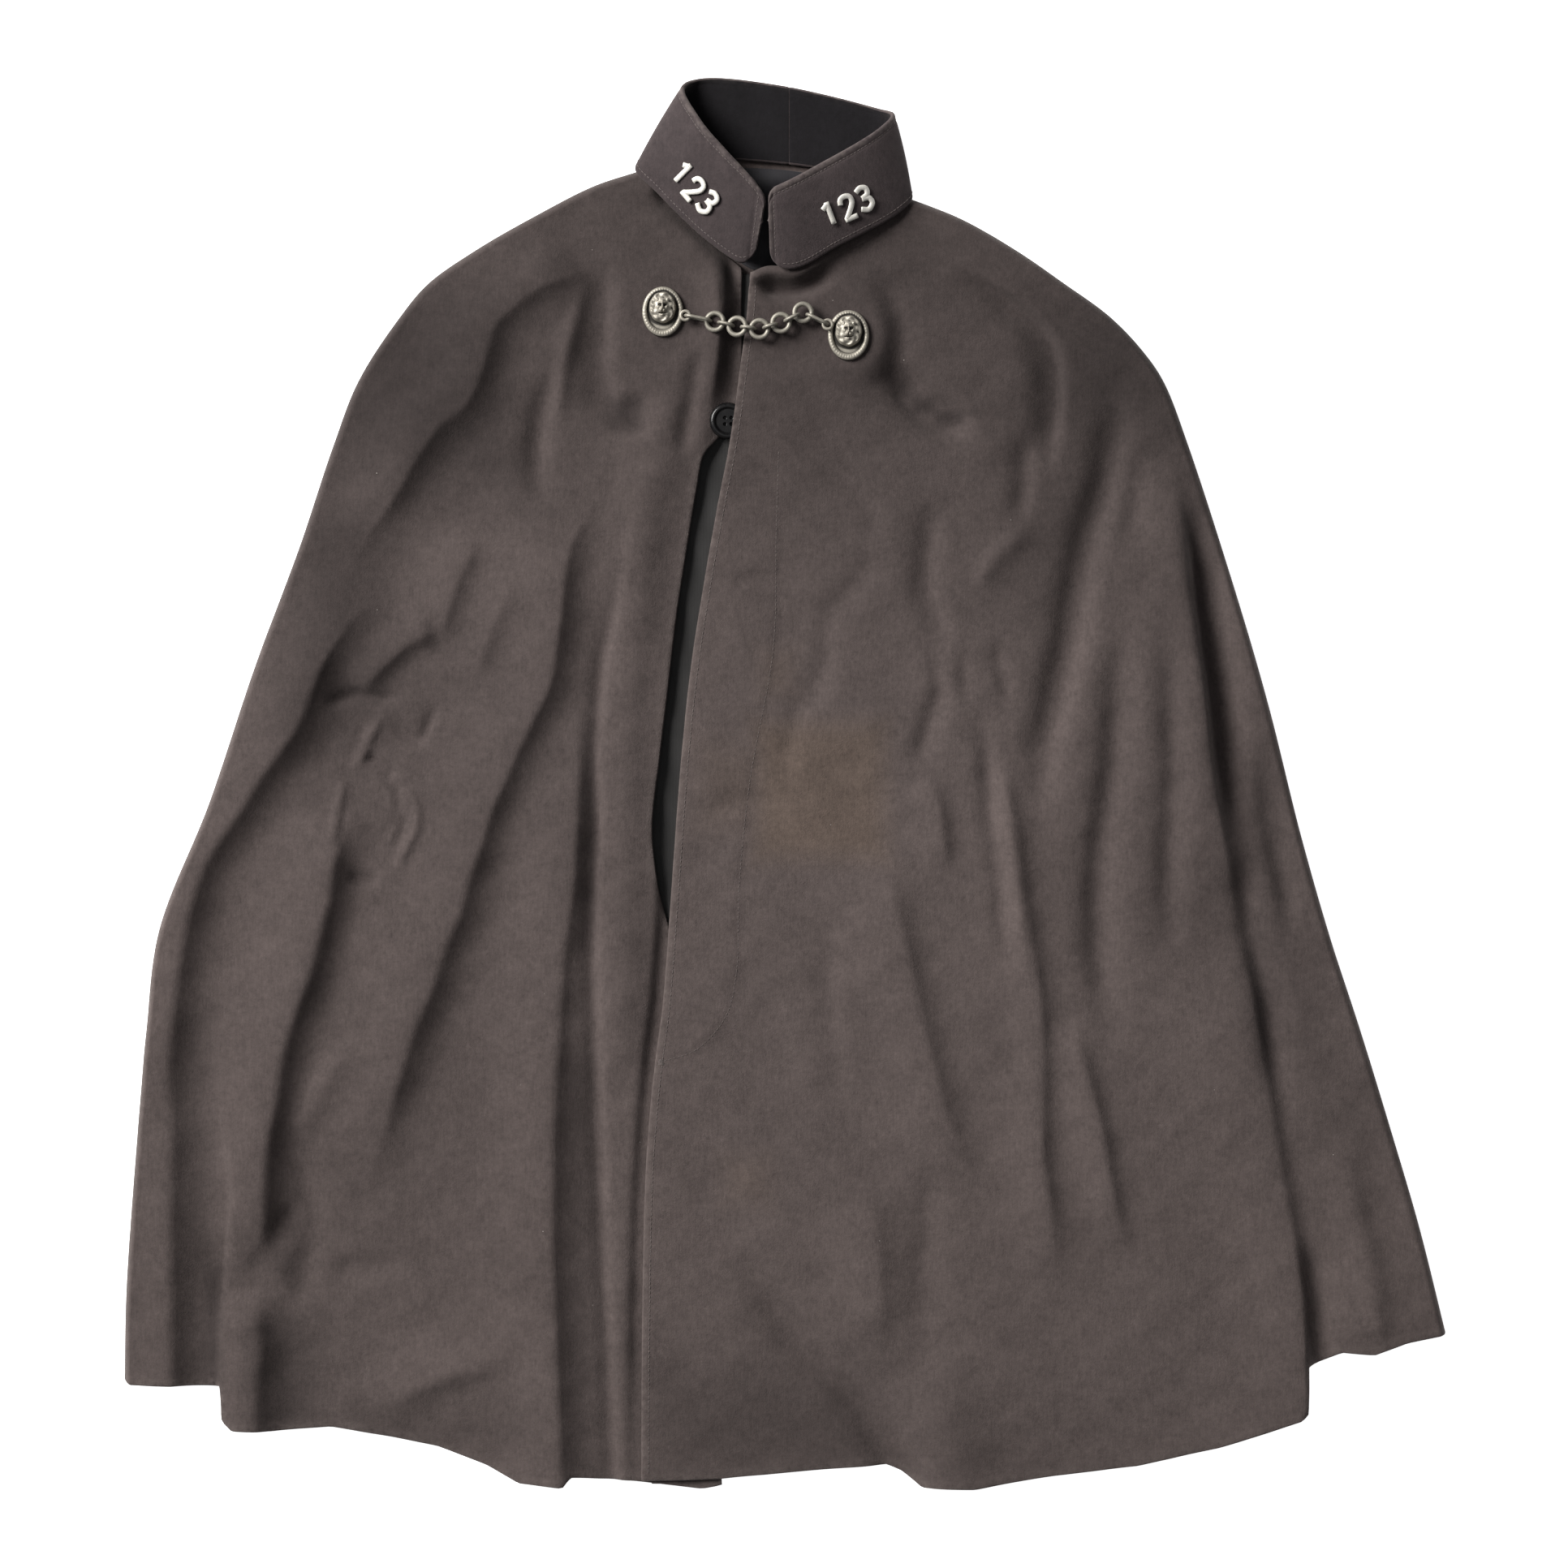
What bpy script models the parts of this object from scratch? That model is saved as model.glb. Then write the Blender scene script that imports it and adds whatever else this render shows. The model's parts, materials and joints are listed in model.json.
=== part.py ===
"""Short wool cape with a stand collar, laid flat on its back with the front up.

X runs to the viewer's right, Y towards the collar and Z up from the surface it lies on.
The origin is on that surface, under the middle of the outline. Sizes are in metres.
Right and left in names are the wearer's, so the right front is on the viewer's left.
"""
import math
from collections import namedtuple

import bmesh
import bpy
import numpy as np
from mathutils import Matrix, Vector

# Cloth and seams
CLOTH = 0.0023          # thick fulled wool
COLLAR_CLOTH = 0.003    # two layers of wool
LINING_CLOTH = 0.0011
SEAM = 0.0003           # left between pieces that are sewn or lie together

# How the fronts lie over the back
EDGE_ROUND = 0.009      # the side and shoulder edges turn over in this radius
RIGHT_LOFT = 0.0115     # usual height of the right front over the surface
LEFT_LOFT = 0.0135      # the left front lies over the right one
LOWEST = 0.0060         # no fold goes lower than this
UNDERLAP_HEIGHT = 0.0078  # the right front where the left one covers it
UNDERLAP_RISE = 0.020   # it rises to its own height over this distance
BACK_INSET = 0.0042     # the back's edge lies inside the fronts' turned edges

# Plan of the right front, each edge from the neck to the hem
RIGHT_NECK = [(-0.0300, 0.3470), (-0.0570, 0.3725), (-0.0985, 0.4145)]
RIGHT_EDGE = [
    (-0.0300, 0.3470), (-0.0300, 0.3000), (-0.0310, 0.2620), (-0.0365, 0.2440), (-0.0470, 0.2320),
    (-0.0558, 0.2215), (-0.0605, 0.1990), (-0.0676, 0.1560), (-0.0742, 0.1122), (-0.0793, 0.0684),
    (-0.0860, 0.0137), (-0.0905, -0.0300), (-0.0870, -0.0660), (-0.0790, -0.1000), (-0.0720, -0.1600),
    (-0.0660, -0.2400), (-0.0560, -0.3600), (-0.0437, -0.4736),
]
RIGHT_SIDE = [
    (-0.0985, 0.4145), (-0.1295, 0.4043), (-0.1724, 0.3823), (-0.2104, 0.3603),
    (-0.2417, 0.3383), (-0.2604, 0.3163), (-0.2890, 0.2723), (-0.3061, 0.2283),
    (-0.3281, 0.1623), (-0.3605, 0.0743), (-0.3897, -0.0138), (-0.4235, -0.1000),
    (-0.4320, -0.1678), (-0.4397, -0.2558), (-0.4458, -0.3438), (-0.4470, -0.4010),
]
RIGHT_HEM = [
    (-0.0437, -0.4736), (-0.0564, -0.4758), (-0.1031, -0.4703), (-0.1444, -0.4675),
    (-0.1499, -0.4741), (-0.1801, -0.4714), (-0.2021, -0.4593), (-0.2351, -0.4466),
    (-0.2681, -0.4400), (-0.3066, -0.4334), (-0.3451, -0.4356), (-0.3726, -0.4356),
    (-0.3796, -0.4290), (-0.3812, -0.4055), (-0.4414, -0.4043), (-0.4470, -0.4010),
]

# Plan of the left front
LEFT_NECK = [
    (-0.0233, 0.3430), (-0.0130, 0.3473), (0.0080, 0.3480), (0.0290, 0.3610), (0.0510, 0.3730),
    (0.0835, 0.3960),
]
LEFT_EDGE = [
    (-0.0233, 0.3430), (-0.0246, 0.3180), (-0.0294, 0.2800), (-0.0360, 0.2320), (-0.0458, 0.1810),
    (-0.0553, 0.1260), (-0.0623, 0.0800), (-0.0692, 0.0150), (-0.0758, -0.0750), (-0.0816, -0.1500),
    (-0.0862, -0.1850), (-0.0895, -0.2150), (-0.0932, -0.2668), (-0.0954, -0.3713), (-0.0960, -0.4700),
]
LEFT_SIDE = [
    (0.0835, 0.3960), (0.1185, 0.3823), (0.1570, 0.3603), (0.1889, 0.3383),
    (0.2192, 0.3163), (0.2406, 0.2943), (0.2560, 0.2723), (0.2731, 0.2283),
    (0.3017, 0.1403), (0.3275, 0.0523), (0.3495, -0.0358), (0.3682, -0.1018),
    (0.3897, -0.1678), (0.4100, -0.2338), (0.4293, -0.2998), (0.4470, -0.3713),
]
LEFT_HEM = [
    (-0.0960, -0.4700), (-0.0437, -0.4686), (0.0179, -0.4631), (0.0685, -0.4593),
    (0.0784, -0.4637), (0.0921, -0.4750), (0.1279, -0.4752), (0.1829, -0.4659),
    (0.2379, -0.4593), (0.2929, -0.4472), (0.3479, -0.4290), (0.3526, -0.4250),
    (0.3532, -0.3930), (0.3754, -0.3834), (0.3974, -0.3850), (0.4194, -0.3768), (0.4470, -0.3713),
]

# Plan of the pieces that lie under the fronts
BACK_NECK = [(-0.0985, 0.4145), (-0.0500, 0.4235), (0.0025, 0.4230), (0.0480, 0.4135), (0.0835, 0.3960)]
BACK_HEM = [(-0.4470, -0.3990), (-0.3500, -0.4020), (-0.1800, -0.4330), (0.0, -0.4400),
            (0.1900, -0.4280), (0.3400, -0.3850), (0.4470, -0.3690)]
STAND_OUTER = [(-0.0500, 0.3440), (-0.0560, 0.2750), (-0.0740, 0.2000), (-0.0900, 0.1000), (-0.1030, 0.0),
               (-0.1100, -0.1500), (-0.1080, -0.3000), (-0.0900, -0.4735)]
STAND_INNER = [(-0.0040, 0.3440), (-0.0100, 0.2750), (-0.0260, 0.2000), (-0.0400, 0.1000), (-0.0500, 0.0),
               (-0.0560, -0.1500), (-0.0540, -0.3000), (-0.0445, -0.4735)]
LINING_TOP = [(-0.0600, 0.4165), (0.0, 0.4140), (0.0560, 0.4040)]
LINING_FOOT = [(-0.0560, 0.3740), (-0.0150, 0.3460), (0.0560, 0.3660)]

# Folds run down from the collar. Height is over the cloth around, below nought for a
# trough; left and right are how far the fold spreads to the viewer's left and right.
Fold = namedtuple("Fold", "name height left right fade_in fade_out path")
RIGHT_FOLDS = [
    Fold("side valley", -0.0060, 0.013, 0.020, 0.3, 0.0, [
        (-0.240, 0.200), (-0.2736, 0.1348), (-0.3149, 0.0633), (-0.3506, 0.0028), (-0.3864, -0.0633),
        (-0.4056, -0.1403), (-0.4080, -0.2008), (-0.4010, -0.2943), (-0.4020, -0.430)]),
    Fold("front fold", 0.0110, 0.009, 0.024, 0.35, 0.0, [
        (-0.3700, -0.1300), (-0.3715, -0.2503), (-0.3735, -0.3273), (-0.3745, -0.4600)]),
    Fold("elbow trough", -0.0080, 0.010, 0.022, 0.3, 0.0, [
        (-0.2945, -0.0303), (-0.3066, -0.0908), (-0.3286, -0.1623), (-0.3440, -0.2228),
        (-0.3490, -0.2943), (-0.3396, -0.3603), (-0.3396, -0.4600)]),
    Fold("elbow ridge", 0.0070, 0.016, 0.012, 0.3, 0.3, [
        (-0.3039, 0.0000), (-0.3190, -0.0908), (-0.3440, -0.1623), (-0.3600, -0.2393), (-0.3670, -0.3493)]),
    Fold("long trough", -0.0095, 0.011, 0.028, 0.3, 0.25, [
        (-0.1471, 0.0688), (-0.1746, 0.0083), (-0.2049, -0.0578), (-0.2379, -0.1403),
        (-0.2626, -0.2063), (-0.2846, -0.2778)]),
    Fold("long ridge", 0.0065, 0.020, 0.013, 0.3, 0.3, [
        (-0.1526, 0.1128), (-0.1966, -0.0030), (-0.2290, -0.0798), (-0.2600, -0.1568), (-0.2860, -0.2400)]),
    Fold("front pleat", -0.0090, 0.014, 0.015, 0.3, 0.0, [
        (-0.1444, 0.0468), (-0.1350, -0.0193), (-0.1350, -0.1018), (-0.1389, -0.2118),
        (-0.1370, -0.3218), (-0.1279, -0.4900)]),
    Fold("pleat ridge", 0.0050, 0.026, 0.013, 0.3, 0.0, [
        (-0.1660, -0.0743), (-0.1700, -0.2393), (-0.1620, -0.4800)]),
    Fold("edge ridge", 0.0070, 0.016, 0.016, 0.15, 0.1, [
        (-0.0921, 0.2668), (-0.1000, 0.1733), (-0.1075, 0.0358), (-0.1110, -0.1018),
        (-0.1130, -0.2393), (-0.1120, -0.4500)]),
    Fold("shoulder trough", -0.0055, 0.016, 0.016, 0.35, 0.35, [
        (-0.1224, 0.3410), (-0.1664, 0.3190), (-0.1966, 0.2668), (-0.2324, 0.2228), (-0.2736, 0.1568)]),
    Fold("chest trough", -0.0045, 0.011, 0.011, 0.35, 0.35, [
        (-0.1471, 0.2723), (-0.1647, 0.2228), (-0.1592, 0.1788)]),
    Fold("chest ridge", 0.0040, 0.012, 0.012, 0.35, 0.35, [
        (-0.0976, 0.2063), (-0.1279, 0.1843), (-0.1444, 0.1458), (-0.1471, 0.0908)]),
    Fold("inner trough", -0.0050, 0.012, 0.012, 0.35, 0.35, [
        (-0.1180, 0.1788), (-0.1240, 0.0908), (-0.1300, 0.0083)]),
    Fold("hem ridge", 0.0045, 0.013, 0.022, 0.35, 0.35, [
        (-0.2736, -0.4290), (-0.2241, -0.4043), (-0.1801, -0.3878)]),
]
LEFT_FOLDS = [
    Fold("side fold", 0.0130, 0.040, 0.009, 0.25, 0.0, [
        (0.2590, 0.2228), (0.2730, 0.1458), (0.2830, 0.0578), (0.2900, -0.0248), (0.3090, -0.1568),
        (0.3290, -0.2558), (0.3430, -0.3493), (0.3465, -0.4500)]),
    Fold("side gap", -0.0070, 0.008, 0.011, 0.3, 0.0, [
        (0.2790, 0.1788), (0.2940, 0.1018), (0.3060, 0.0083), (0.3200, -0.0743), (0.3380, -0.1843),
        (0.3580, -0.2943), (0.3620, -0.4200)]),
    Fold("arm trough", -0.0075, 0.013, 0.016, 0.3, 0.3, [
        (0.2241, 0.2558), (0.2104, 0.1953), (0.1966, 0.1238), (0.1829, 0.0523), (0.1746, -0.0193)]),
    Fold("shoulder trough", -0.0065, 0.012, 0.012, 0.35, 0.3, [
        (0.1086, 0.3603), (0.1554, 0.3273), (0.1812, 0.2888), (0.1818, 0.2228)]),
    Fold("chest trough", -0.0070, 0.013, 0.013, 0.4, 0.35, [
        (0.0740, 0.3400), (0.0780, 0.2888), (0.0949, 0.2558), (0.1306, 0.2365)]),
    Fold("middle trough", -0.0050, 0.013, 0.013, 0.3, 0.3, [
        (0.0784, -0.0468), (0.0949, -0.1238), (0.1141, -0.2008), (0.1389, -0.2888)]),
    Fold("long crease", -0.0050, 0.011, 0.012, 0.3, 0.3, [
        (0.1554, 0.0083), (0.1653, -0.0688), (0.1763, -0.1623), (0.1812, -0.2503), (0.1856, -0.3603)]),
    Fold("branch crease", -0.0035, 0.011, 0.011, 0.35, 0.35, [
        (0.1856, -0.1595), (0.2049, -0.2173), (0.2269, -0.2943)]),
    Fold("outer trough", -0.0045, 0.013, 0.013, 0.35, 0.35, [
        (0.2225, 0.1128), (0.2186, 0.0083), (0.2104, -0.1018), (0.2241, -0.1843)]),
    Fold("bust trough", -0.0040, 0.011, 0.011, 0.35, 0.35, [
        (0.0976, 0.1953), (0.0960, 0.1348), (0.1031, 0.0908)]),
    Fold("hem trough", -0.0065, 0.014, 0.016, 0.4, 0.0, [
        (0.0096, -0.3823), (0.0426, -0.4208), (0.0756, -0.4700)]),
    Fold("hem bulge", 0.0055, 0.022, 0.030, 0.4, 0.0, [
        (0.0894, -0.3768), (0.1059, -0.4263), (0.1169, -0.4900)]),
    Fold("low trough", -0.0035, 0.011, 0.011, 0.35, 0.35, [
        (0.0509, -0.2613), (0.0591, -0.3273), (0.0619, -0.3823)]),
    Fold("strip fold", -0.0030, 0.011, 0.011, 0.35, 0.1, [
        (0.3809, -0.2118), (0.4029, -0.3800)]),
]
# Broad swells of the cloth: where it is highest, how far it spreads and how high
Swell = namedtuple("Swell", "name x y spread height")
RIGHT_SWELLS = [
    Swell("neck", -0.050, 0.345, 0.070, 0.0045),
    Swell("hem lies lower", -0.200, -0.520, 0.120, -0.0040),
]
LEFT_SWELLS = [
    Swell("neck", 0.000, 0.325, 0.065, 0.0075),
    Swell("hem lies lower", 0.050, -0.530, 0.120, -0.0030),
    Swell("side lies lower", 0.400, -0.250, 0.080, -0.0050),
    Swell("over the button", -0.030, 0.245, 0.035, 0.0040),
]

# The collar, from the right front end round the back to the left front end
Station = namedtuple("Station", "name foot top")
COLLAR = [
    Station("right end", (-0.0160, 0.3475, 0.0240), (-0.0158, 0.3928, 0.0400)),
    Station("right lap", (-0.0310, 0.3505, 0.0235), (-0.0268, 0.4076, 0.0392)),
    Station("right front", (-0.0555, 0.3685, 0.0220), (-0.0400, 0.4215, 0.0380)),
    Station("right side", (-0.0870, 0.4000, 0.0170), (-0.0585, 0.4445, 0.0320)),
    Station("right turn", (-0.1000, 0.4150, 0.0110), (-0.0690, 0.4665, 0.0205)),
    Station("right back", (-0.0905, 0.4225, 0.0055), (-0.0590, 0.4742, 0.0095)),
    Station("middle back", (0.0025, 0.4195, 0.0052), (0.0025, 0.4690, 0.0070)),
    Station("left back", (0.0730, 0.4050, 0.0055), (0.0630, 0.4540, 0.0095)),
    Station("left turn", (0.0845, 0.3960, 0.0120), (0.0724, 0.4485, 0.0205)),
    Station("left side", (0.0750, 0.3840, 0.0187), (0.0615, 0.4355, 0.0320)),
    Station("left front", (0.0335, 0.3605, 0.0250), (0.0220, 0.4110, 0.0400)),
    Station("left lap", (0.0090, 0.3470, 0.0265), (0.0035, 0.4010, 0.0415)),
    Station("left end", (-0.0085, 0.3455, 0.0270), (-0.0096, 0.3942, 0.0420)),
]
COLLAR_BACK_SEAM = 6     # the station where the halves meet
COLLAR_CORNER = 0.007    # the front ends are rounded off
HALF_SEAM = 0.0008       # half the seam between the halves, as a share of the collar's length

# Bosses, chain and button
BOSS_RIGHT = (-0.0824, 0.3174)
BOSS_LEFT = (0.0426, 0.3010)
RIGHT_SEAT = 0.0150      # height of the cloth under each boss
LEFT_SEAT = 0.0195
SEAT_REACH = 0.020       # the cloth is flat this far round a boss
BOSS_WIDE = 0.0280
BOSS_TALL = 0.0340
BOSS_RIM = 0.0024        # height of the rim
BOSS_WALL = 0.0068       # height of the mask's edge
BOSS_CROWN = 0.0100
EYE_RADIUS = 0.0030
EYE_WIRE = 0.0011
EYE_HEIGHT = 0.0054      # the eye's middle over the boss's foot
RING_RADIUS = 0.00575    # middle of the wire
RING_WIRE = 0.00135
LINK_RADIUS = 0.0043
LINK_WIRE = 0.0009
WIRE_SPACING = 0.0030    # from a ring's wire to the next one's, through a link
RINGS = [(-0.0472, 0.3102), (-0.0322, 0.3064), (-0.0172, 0.3046), (-0.0028, 0.3087), (0.0120, 0.3156)]
CHAIN_CLEARANCE = 0.0054  # middle of the chain over the cloth below it
BUTTON_AT = (-0.0385, 0.2442)
BUTTON_RADIUS = 0.0125
BUTTON_THICK = 0.0034

# Plain numerals on the collar, each drawn as two strokes in a box one unit high
NUMERAL_HEIGHT = 0.0190
NUMERAL_WIDTH = 0.0036
NUMERAL_THICK = 0.0018
NUMERAL_PITCH = 0.0128
STROKES = {
    "one": ([(-0.24, 0.24), (0.02, 0.40)],
            [(0.02, 0.50), (0.02, -0.50)]),
    "two": ([(-0.27, 0.20), (-0.20, 0.42), (0.02, 0.50), (0.24, 0.40), (0.26, 0.16), (0.08, -0.12),
             (-0.20, -0.45)],
            [(-0.30, -0.49), (0.29, -0.49)]),
    "three": ([(-0.26, 0.38), (-0.02, 0.50), (0.22, 0.40), (0.20, 0.14), (-0.08, 0.04)],
              [(-0.09, 0.02), (0.22, -0.05), (0.28, -0.30), (0.04, -0.50), (-0.28, -0.38)]),
}
NUMERAL_ROWS = [("right", (-0.0592, 0.3990), -48.0), ("left", (0.0418, 0.3868), 22.0)]

# Materials: colour, roughness, metal
MATERIALS = {
    "wool": ((0.092, 0.073, 0.069, 1.0), 0.95, 0.0),
    "lining": ((0.010, 0.009, 0.011, 1.0), 0.80, 0.0),
    "white_metal": ((0.62, 0.60, 0.55, 1.0), 0.30, 1.0),
    "black_plastic": ((0.010, 0.010, 0.011, 1.0), 0.30, 0.0),
}

# How finely the solids are drawn
FRONT_ACROSS = 34
FRONT_CURL = 4
FRONT_DOWN = 27
BACK_ACROSS = 8
BACK_DOWN = 34


def clear_file():
    """Empty the file of what it starts with."""
    for item in list(bpy.data.objects):
        bpy.data.objects.remove(item, do_unlink=True)


def material(name):
    """A plain surface of the named colour."""
    made = bpy.data.materials.get(name)
    if made is None:
        colour, roughness, metal = MATERIALS[name]
        made = bpy.data.materials.new(name)
        made.use_nodes = True
        surface = made.node_tree.nodes["Principled BSDF"]
        surface.inputs["Base Color"].default_value = colour
        surface.inputs["Roughness"].default_value = roughness
        surface.inputs["Metallic"].default_value = metal
    return made


def add_solid(name, points, faces, slot):
    """A named object with one material and its faces turned outwards."""
    mesh = bpy.data.meshes.new(name)
    mesh.from_pydata([tuple(float(v) for v in p) for p in points], [], faces)
    shape = bmesh.new()
    shape.from_mesh(mesh)
    bmesh.ops.recalc_face_normals(shape, faces=shape.faces)
    shape.to_mesh(mesh)
    shape.free()
    mesh.materials.append(material(slot))
    solid = bpy.data.objects.new(name, mesh)
    bpy.context.scene.collection.objects.link(solid)
    return solid


def smooth_curve(points, count):
    """Points at even spacing along a smooth curve through the ones given."""
    given = np.array(points, float)
    steps = np.linalg.norm(np.diff(given, axis=0), axis=1) ** 0.5
    knots = np.concatenate([[0.0], np.cumsum(steps)])
    slopes = np.gradient(given, knots, axis=0)
    fine = np.linspace(0.0, knots[-1], 40 * len(given))
    k = np.clip(np.searchsorted(knots, fine, side="right") - 1, 0, len(given) - 2)
    span = (knots[k + 1] - knots[k])[:, None]
    u = ((fine - knots[k]) / span[:, 0])[:, None]
    drawn = ((2 * u**3 - 3 * u**2 + 1) * given[k] + (u**3 - 2 * u**2 + u) * span * slopes[k]
             + (3 * u**2 - 2 * u**3) * given[k + 1] + (u**3 - u**2) * span * slopes[k + 1])
    along = np.concatenate([[0.0], np.cumsum(np.linalg.norm(np.diff(drawn, axis=0), axis=1))])
    even = np.linspace(0.0, along[-1], count)
    return np.stack([np.interp(even, along, drawn[:, c]) for c in range(given.shape[1])], axis=1)


def point_on(curve, part):
    """The point a given part of the way along an evenly spaced curve."""
    place = np.clip(part, 0.0, 1.0) * (len(curve) - 1)
    marks = np.arange(len(curve))
    return np.stack([np.interp(place, marks, curve[:, c]) for c in range(curve.shape[1])], axis=-1)


def ease(x):
    """Rise smoothly from 0 to 1 as x goes from 0 to 1."""
    x = np.clip(x, 0.0, 1.0)
    return x * x * (3.0 - 2.0 * x)


def nearest_on(curve, places):
    """Distance, side and part of the way along of the nearest point of a curve."""
    start = curve[:-1]
    run = np.diff(curve, axis=0)
    reach = places[:, None, :] - start[None, :, :]
    part = np.clip((reach * run).sum(-1) / np.maximum((run * run).sum(-1), 1e-12), 0.0, 1.0)
    offset = reach - part[..., None] * run
    apart = (offset**2).sum(-1)
    best = apart.argmin(axis=1)
    rows = np.arange(len(places))
    side = run[best, 0] * offset[rows, best, 1] - run[best, 1] * offset[rows, best, 0]
    return np.sqrt(apart[rows, best]), side, (best + part[rows, best]) / len(run)


def fold_height(folds, swells, places):
    """The height that the folds and swells give the cloth at each place."""
    total = np.zeros(len(places))
    for fold in folds:
        curve = smooth_curve(fold.path, 60)
        apart, side, along = nearest_on(curve, places)
        spread = np.where(side < 0.0, fold.left, fold.right)
        grown = ease(along / fold.fade_in) if fold.fade_in else 1.0
        gone = ease((1.0 - along) / fold.fade_out) if fold.fade_out else 1.0
        total += fold.height * grown * gone * np.exp(-((apart / spread) ** 2))
    for swell in swells:
        apart = np.hypot(places[:, 0] - swell.x, places[:, 1] - swell.y)
        total += swell.height * np.exp(-((apart / swell.spread) ** 2))
    return total


def keep_above(height, floor):
    """Let the height settle softly on a floor instead of going below it."""
    soft = 0.0015
    return floor + soft * np.logaddexp(0.0, (height - floor) / soft)


def settle(height, places, boss, level):
    """Flatten the cloth under a boss that is sewn on it."""
    apart = np.hypot(places[:, 0] - boss[0], places[:, 1] - boss[1])
    hold = 1.0 - ease((apart - SEAT_REACH) / SEAT_REACH)
    return height * (1.0 - hold) + level * hold


def curl(height, places, side_curve):
    """Turn the cloth down to the surface along its side and shoulder."""
    apart, _, _ = nearest_on(side_curve, places)
    inside = 1.0 - np.clip(apart / EDGE_ROUND, 0.0, 1.0)
    return height * np.sqrt(np.maximum(1.0 - inside**2, 0.0))


def right_height(places):
    """Height of the right front's outer face."""
    height = RIGHT_LOFT + fold_height(RIGHT_FOLDS, RIGHT_SWELLS, places)
    height = keep_above(height, LOWEST)
    height = settle(height, places, BOSS_RIGHT, RIGHT_SEAT)
    cover = smooth_curve(LEFT_EDGE, 120)
    apart, side, _ = nearest_on(cover, places)
    clear = np.where(side < 0.0, apart, -apart)
    lift = ease((clear - 0.003) / UNDERLAP_RISE)
    height = UNDERLAP_HEIGHT + (height - UNDERLAP_HEIGHT) * lift
    return curl(height, places, smooth_curve(RIGHT_SIDE, 200))


def left_height(places):
    """Height of the left front's outer face."""
    height = LEFT_LOFT + fold_height(LEFT_FOLDS, LEFT_SWELLS, places)
    height = keep_above(height, LOWEST)
    height = settle(height, places, BOSS_LEFT, LEFT_SEAT)
    return curl(height, places, smooth_curve(LEFT_SIDE, 200))


def patch(near, far, top, foot, across, down):
    """Fill four edges with points: near and far run down, top and foot run across."""
    a = across[..., None]
    d = down[..., None]
    sides = (1 - a) * point_on(near, down) + a * point_on(far, down)
    ends = (1 - d) * point_on(top, across) + d * point_on(foot, across)
    corners = ((1 - a) * (1 - d) * near[0] + a * (1 - d) * far[0]
               + (1 - a) * d * near[-1] + a * d * far[-1])
    return sides + ends - corners


def front_plan(edge, side, neck, hem):
    """Places in plan of a front's points, closer together where its side turns over."""
    near = smooth_curve(edge, 160)
    far = smooth_curve(side, 160)
    top = smooth_curve(neck, 80)
    foot = corner_curve(hem, 240)
    down = np.linspace(0.0, 1.0, FRONT_DOWN)
    width = np.linalg.norm(point_on(far, down) - point_on(near, down), axis=1)
    main = np.linspace(0.0, 1.0, FRONT_ACROSS)
    main = main + 0.12 * np.sin(math.pi * main) * main
    turn = 1.0 - np.sin(np.linspace(0.0, math.pi / 2, FRONT_CURL + 1))[1:]
    rows = []
    for w in width:
        reach = EDGE_ROUND / w
        rows.append(np.concatenate([main * (1.0 - reach), 1.0 - turn * reach]))
    across = np.array(rows)
    return patch(near, far, top, foot, across, np.repeat(down[:, None], across.shape[1], axis=1))


def corner_curve(points, count):
    """Points at even spacing along straight runs through the ones given."""
    given = np.array(points, float)
    along = np.concatenate([[0.0], np.cumsum(np.linalg.norm(np.diff(given, axis=0), axis=1))])
    even = np.linspace(0.0, along[-1], count)
    return np.stack([np.interp(even, along, given[:, c]) for c in range(2)], axis=1)


def grid_normals(grid):
    """Unit normals of a grid of points, turned upwards."""
    down = np.gradient(grid, axis=0)
    across = np.gradient(grid, axis=1)
    normal = np.cross(across, down)
    normal /= np.maximum(np.linalg.norm(normal, axis=2, keepdims=True), 1e-12)
    if normal[..., 2].mean() < 0.0:
        normal = -normal
    return normal


def shell(name, outer, inner, slot):
    """A closed sheet between two grids of points of the same size."""
    rows, columns = outer.shape[:2]
    count = rows * columns
    faces = []
    for r in range(rows - 1):
        for c in range(columns - 1):
            k = r * columns + c
            faces.append((k, k + 1, k + columns + 1))
            faces.append((k, k + columns + 1, k + columns))
            faces.append((count + k, count + k + columns + 1, count + k + 1))
            faces.append((count + k, count + k + columns, count + k + columns + 1))
    rim = [(0, c) for c in range(columns)]
    rim += [(r, columns - 1) for r in range(1, rows)]
    rim += [(rows - 1, c) for c in range(columns - 2, -1, -1)]
    rim += [(r, 0) for r in range(rows - 2, 0, -1)]
    ids = [r * columns + c for r, c in rim]
    for a, b in zip(ids, ids[1:] + ids[:1]):
        faces.append((a, b, count + b))
        faces.append((a, count + b, count + a))
    return add_solid(name, np.concatenate([outer.reshape(-1, 3), inner.reshape(-1, 3)]), faces, slot)


def make_front(name, plan, height):
    """One front: a sheet of even thickness whose side edge stands on the surface."""
    flat = plan.reshape(-1, 2)
    outer = np.concatenate([flat, height(flat)[:, None]], axis=1).reshape(*plan.shape[:2], 3)
    outer[:, -1, 2] = 0.0
    normal = grid_normals(outer)
    normal[:, -1, 2] = 0.0
    normal[:, -1] /= np.linalg.norm(normal[:, -1], axis=1, keepdims=True)
    inner = outer - CLOTH * normal
    inner[:, -1, 2] = 0.0
    return shell(name, outer, inner, "wool")


def flat_piece(name, near, far, top, foot, across, down, bottom, thick, slot):
    """A flat sheet between four edges in plan."""
    a, d = np.meshgrid(np.linspace(0, 1, across), np.linspace(0, 1, down))
    plan = patch(near, far, top, foot, a, d)
    low = np.concatenate([plan, np.full((*plan.shape[:2], 1), bottom)], axis=2)
    high = low + np.array([0.0, 0.0, thick])
    return shell(name, high, low, slot)


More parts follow.
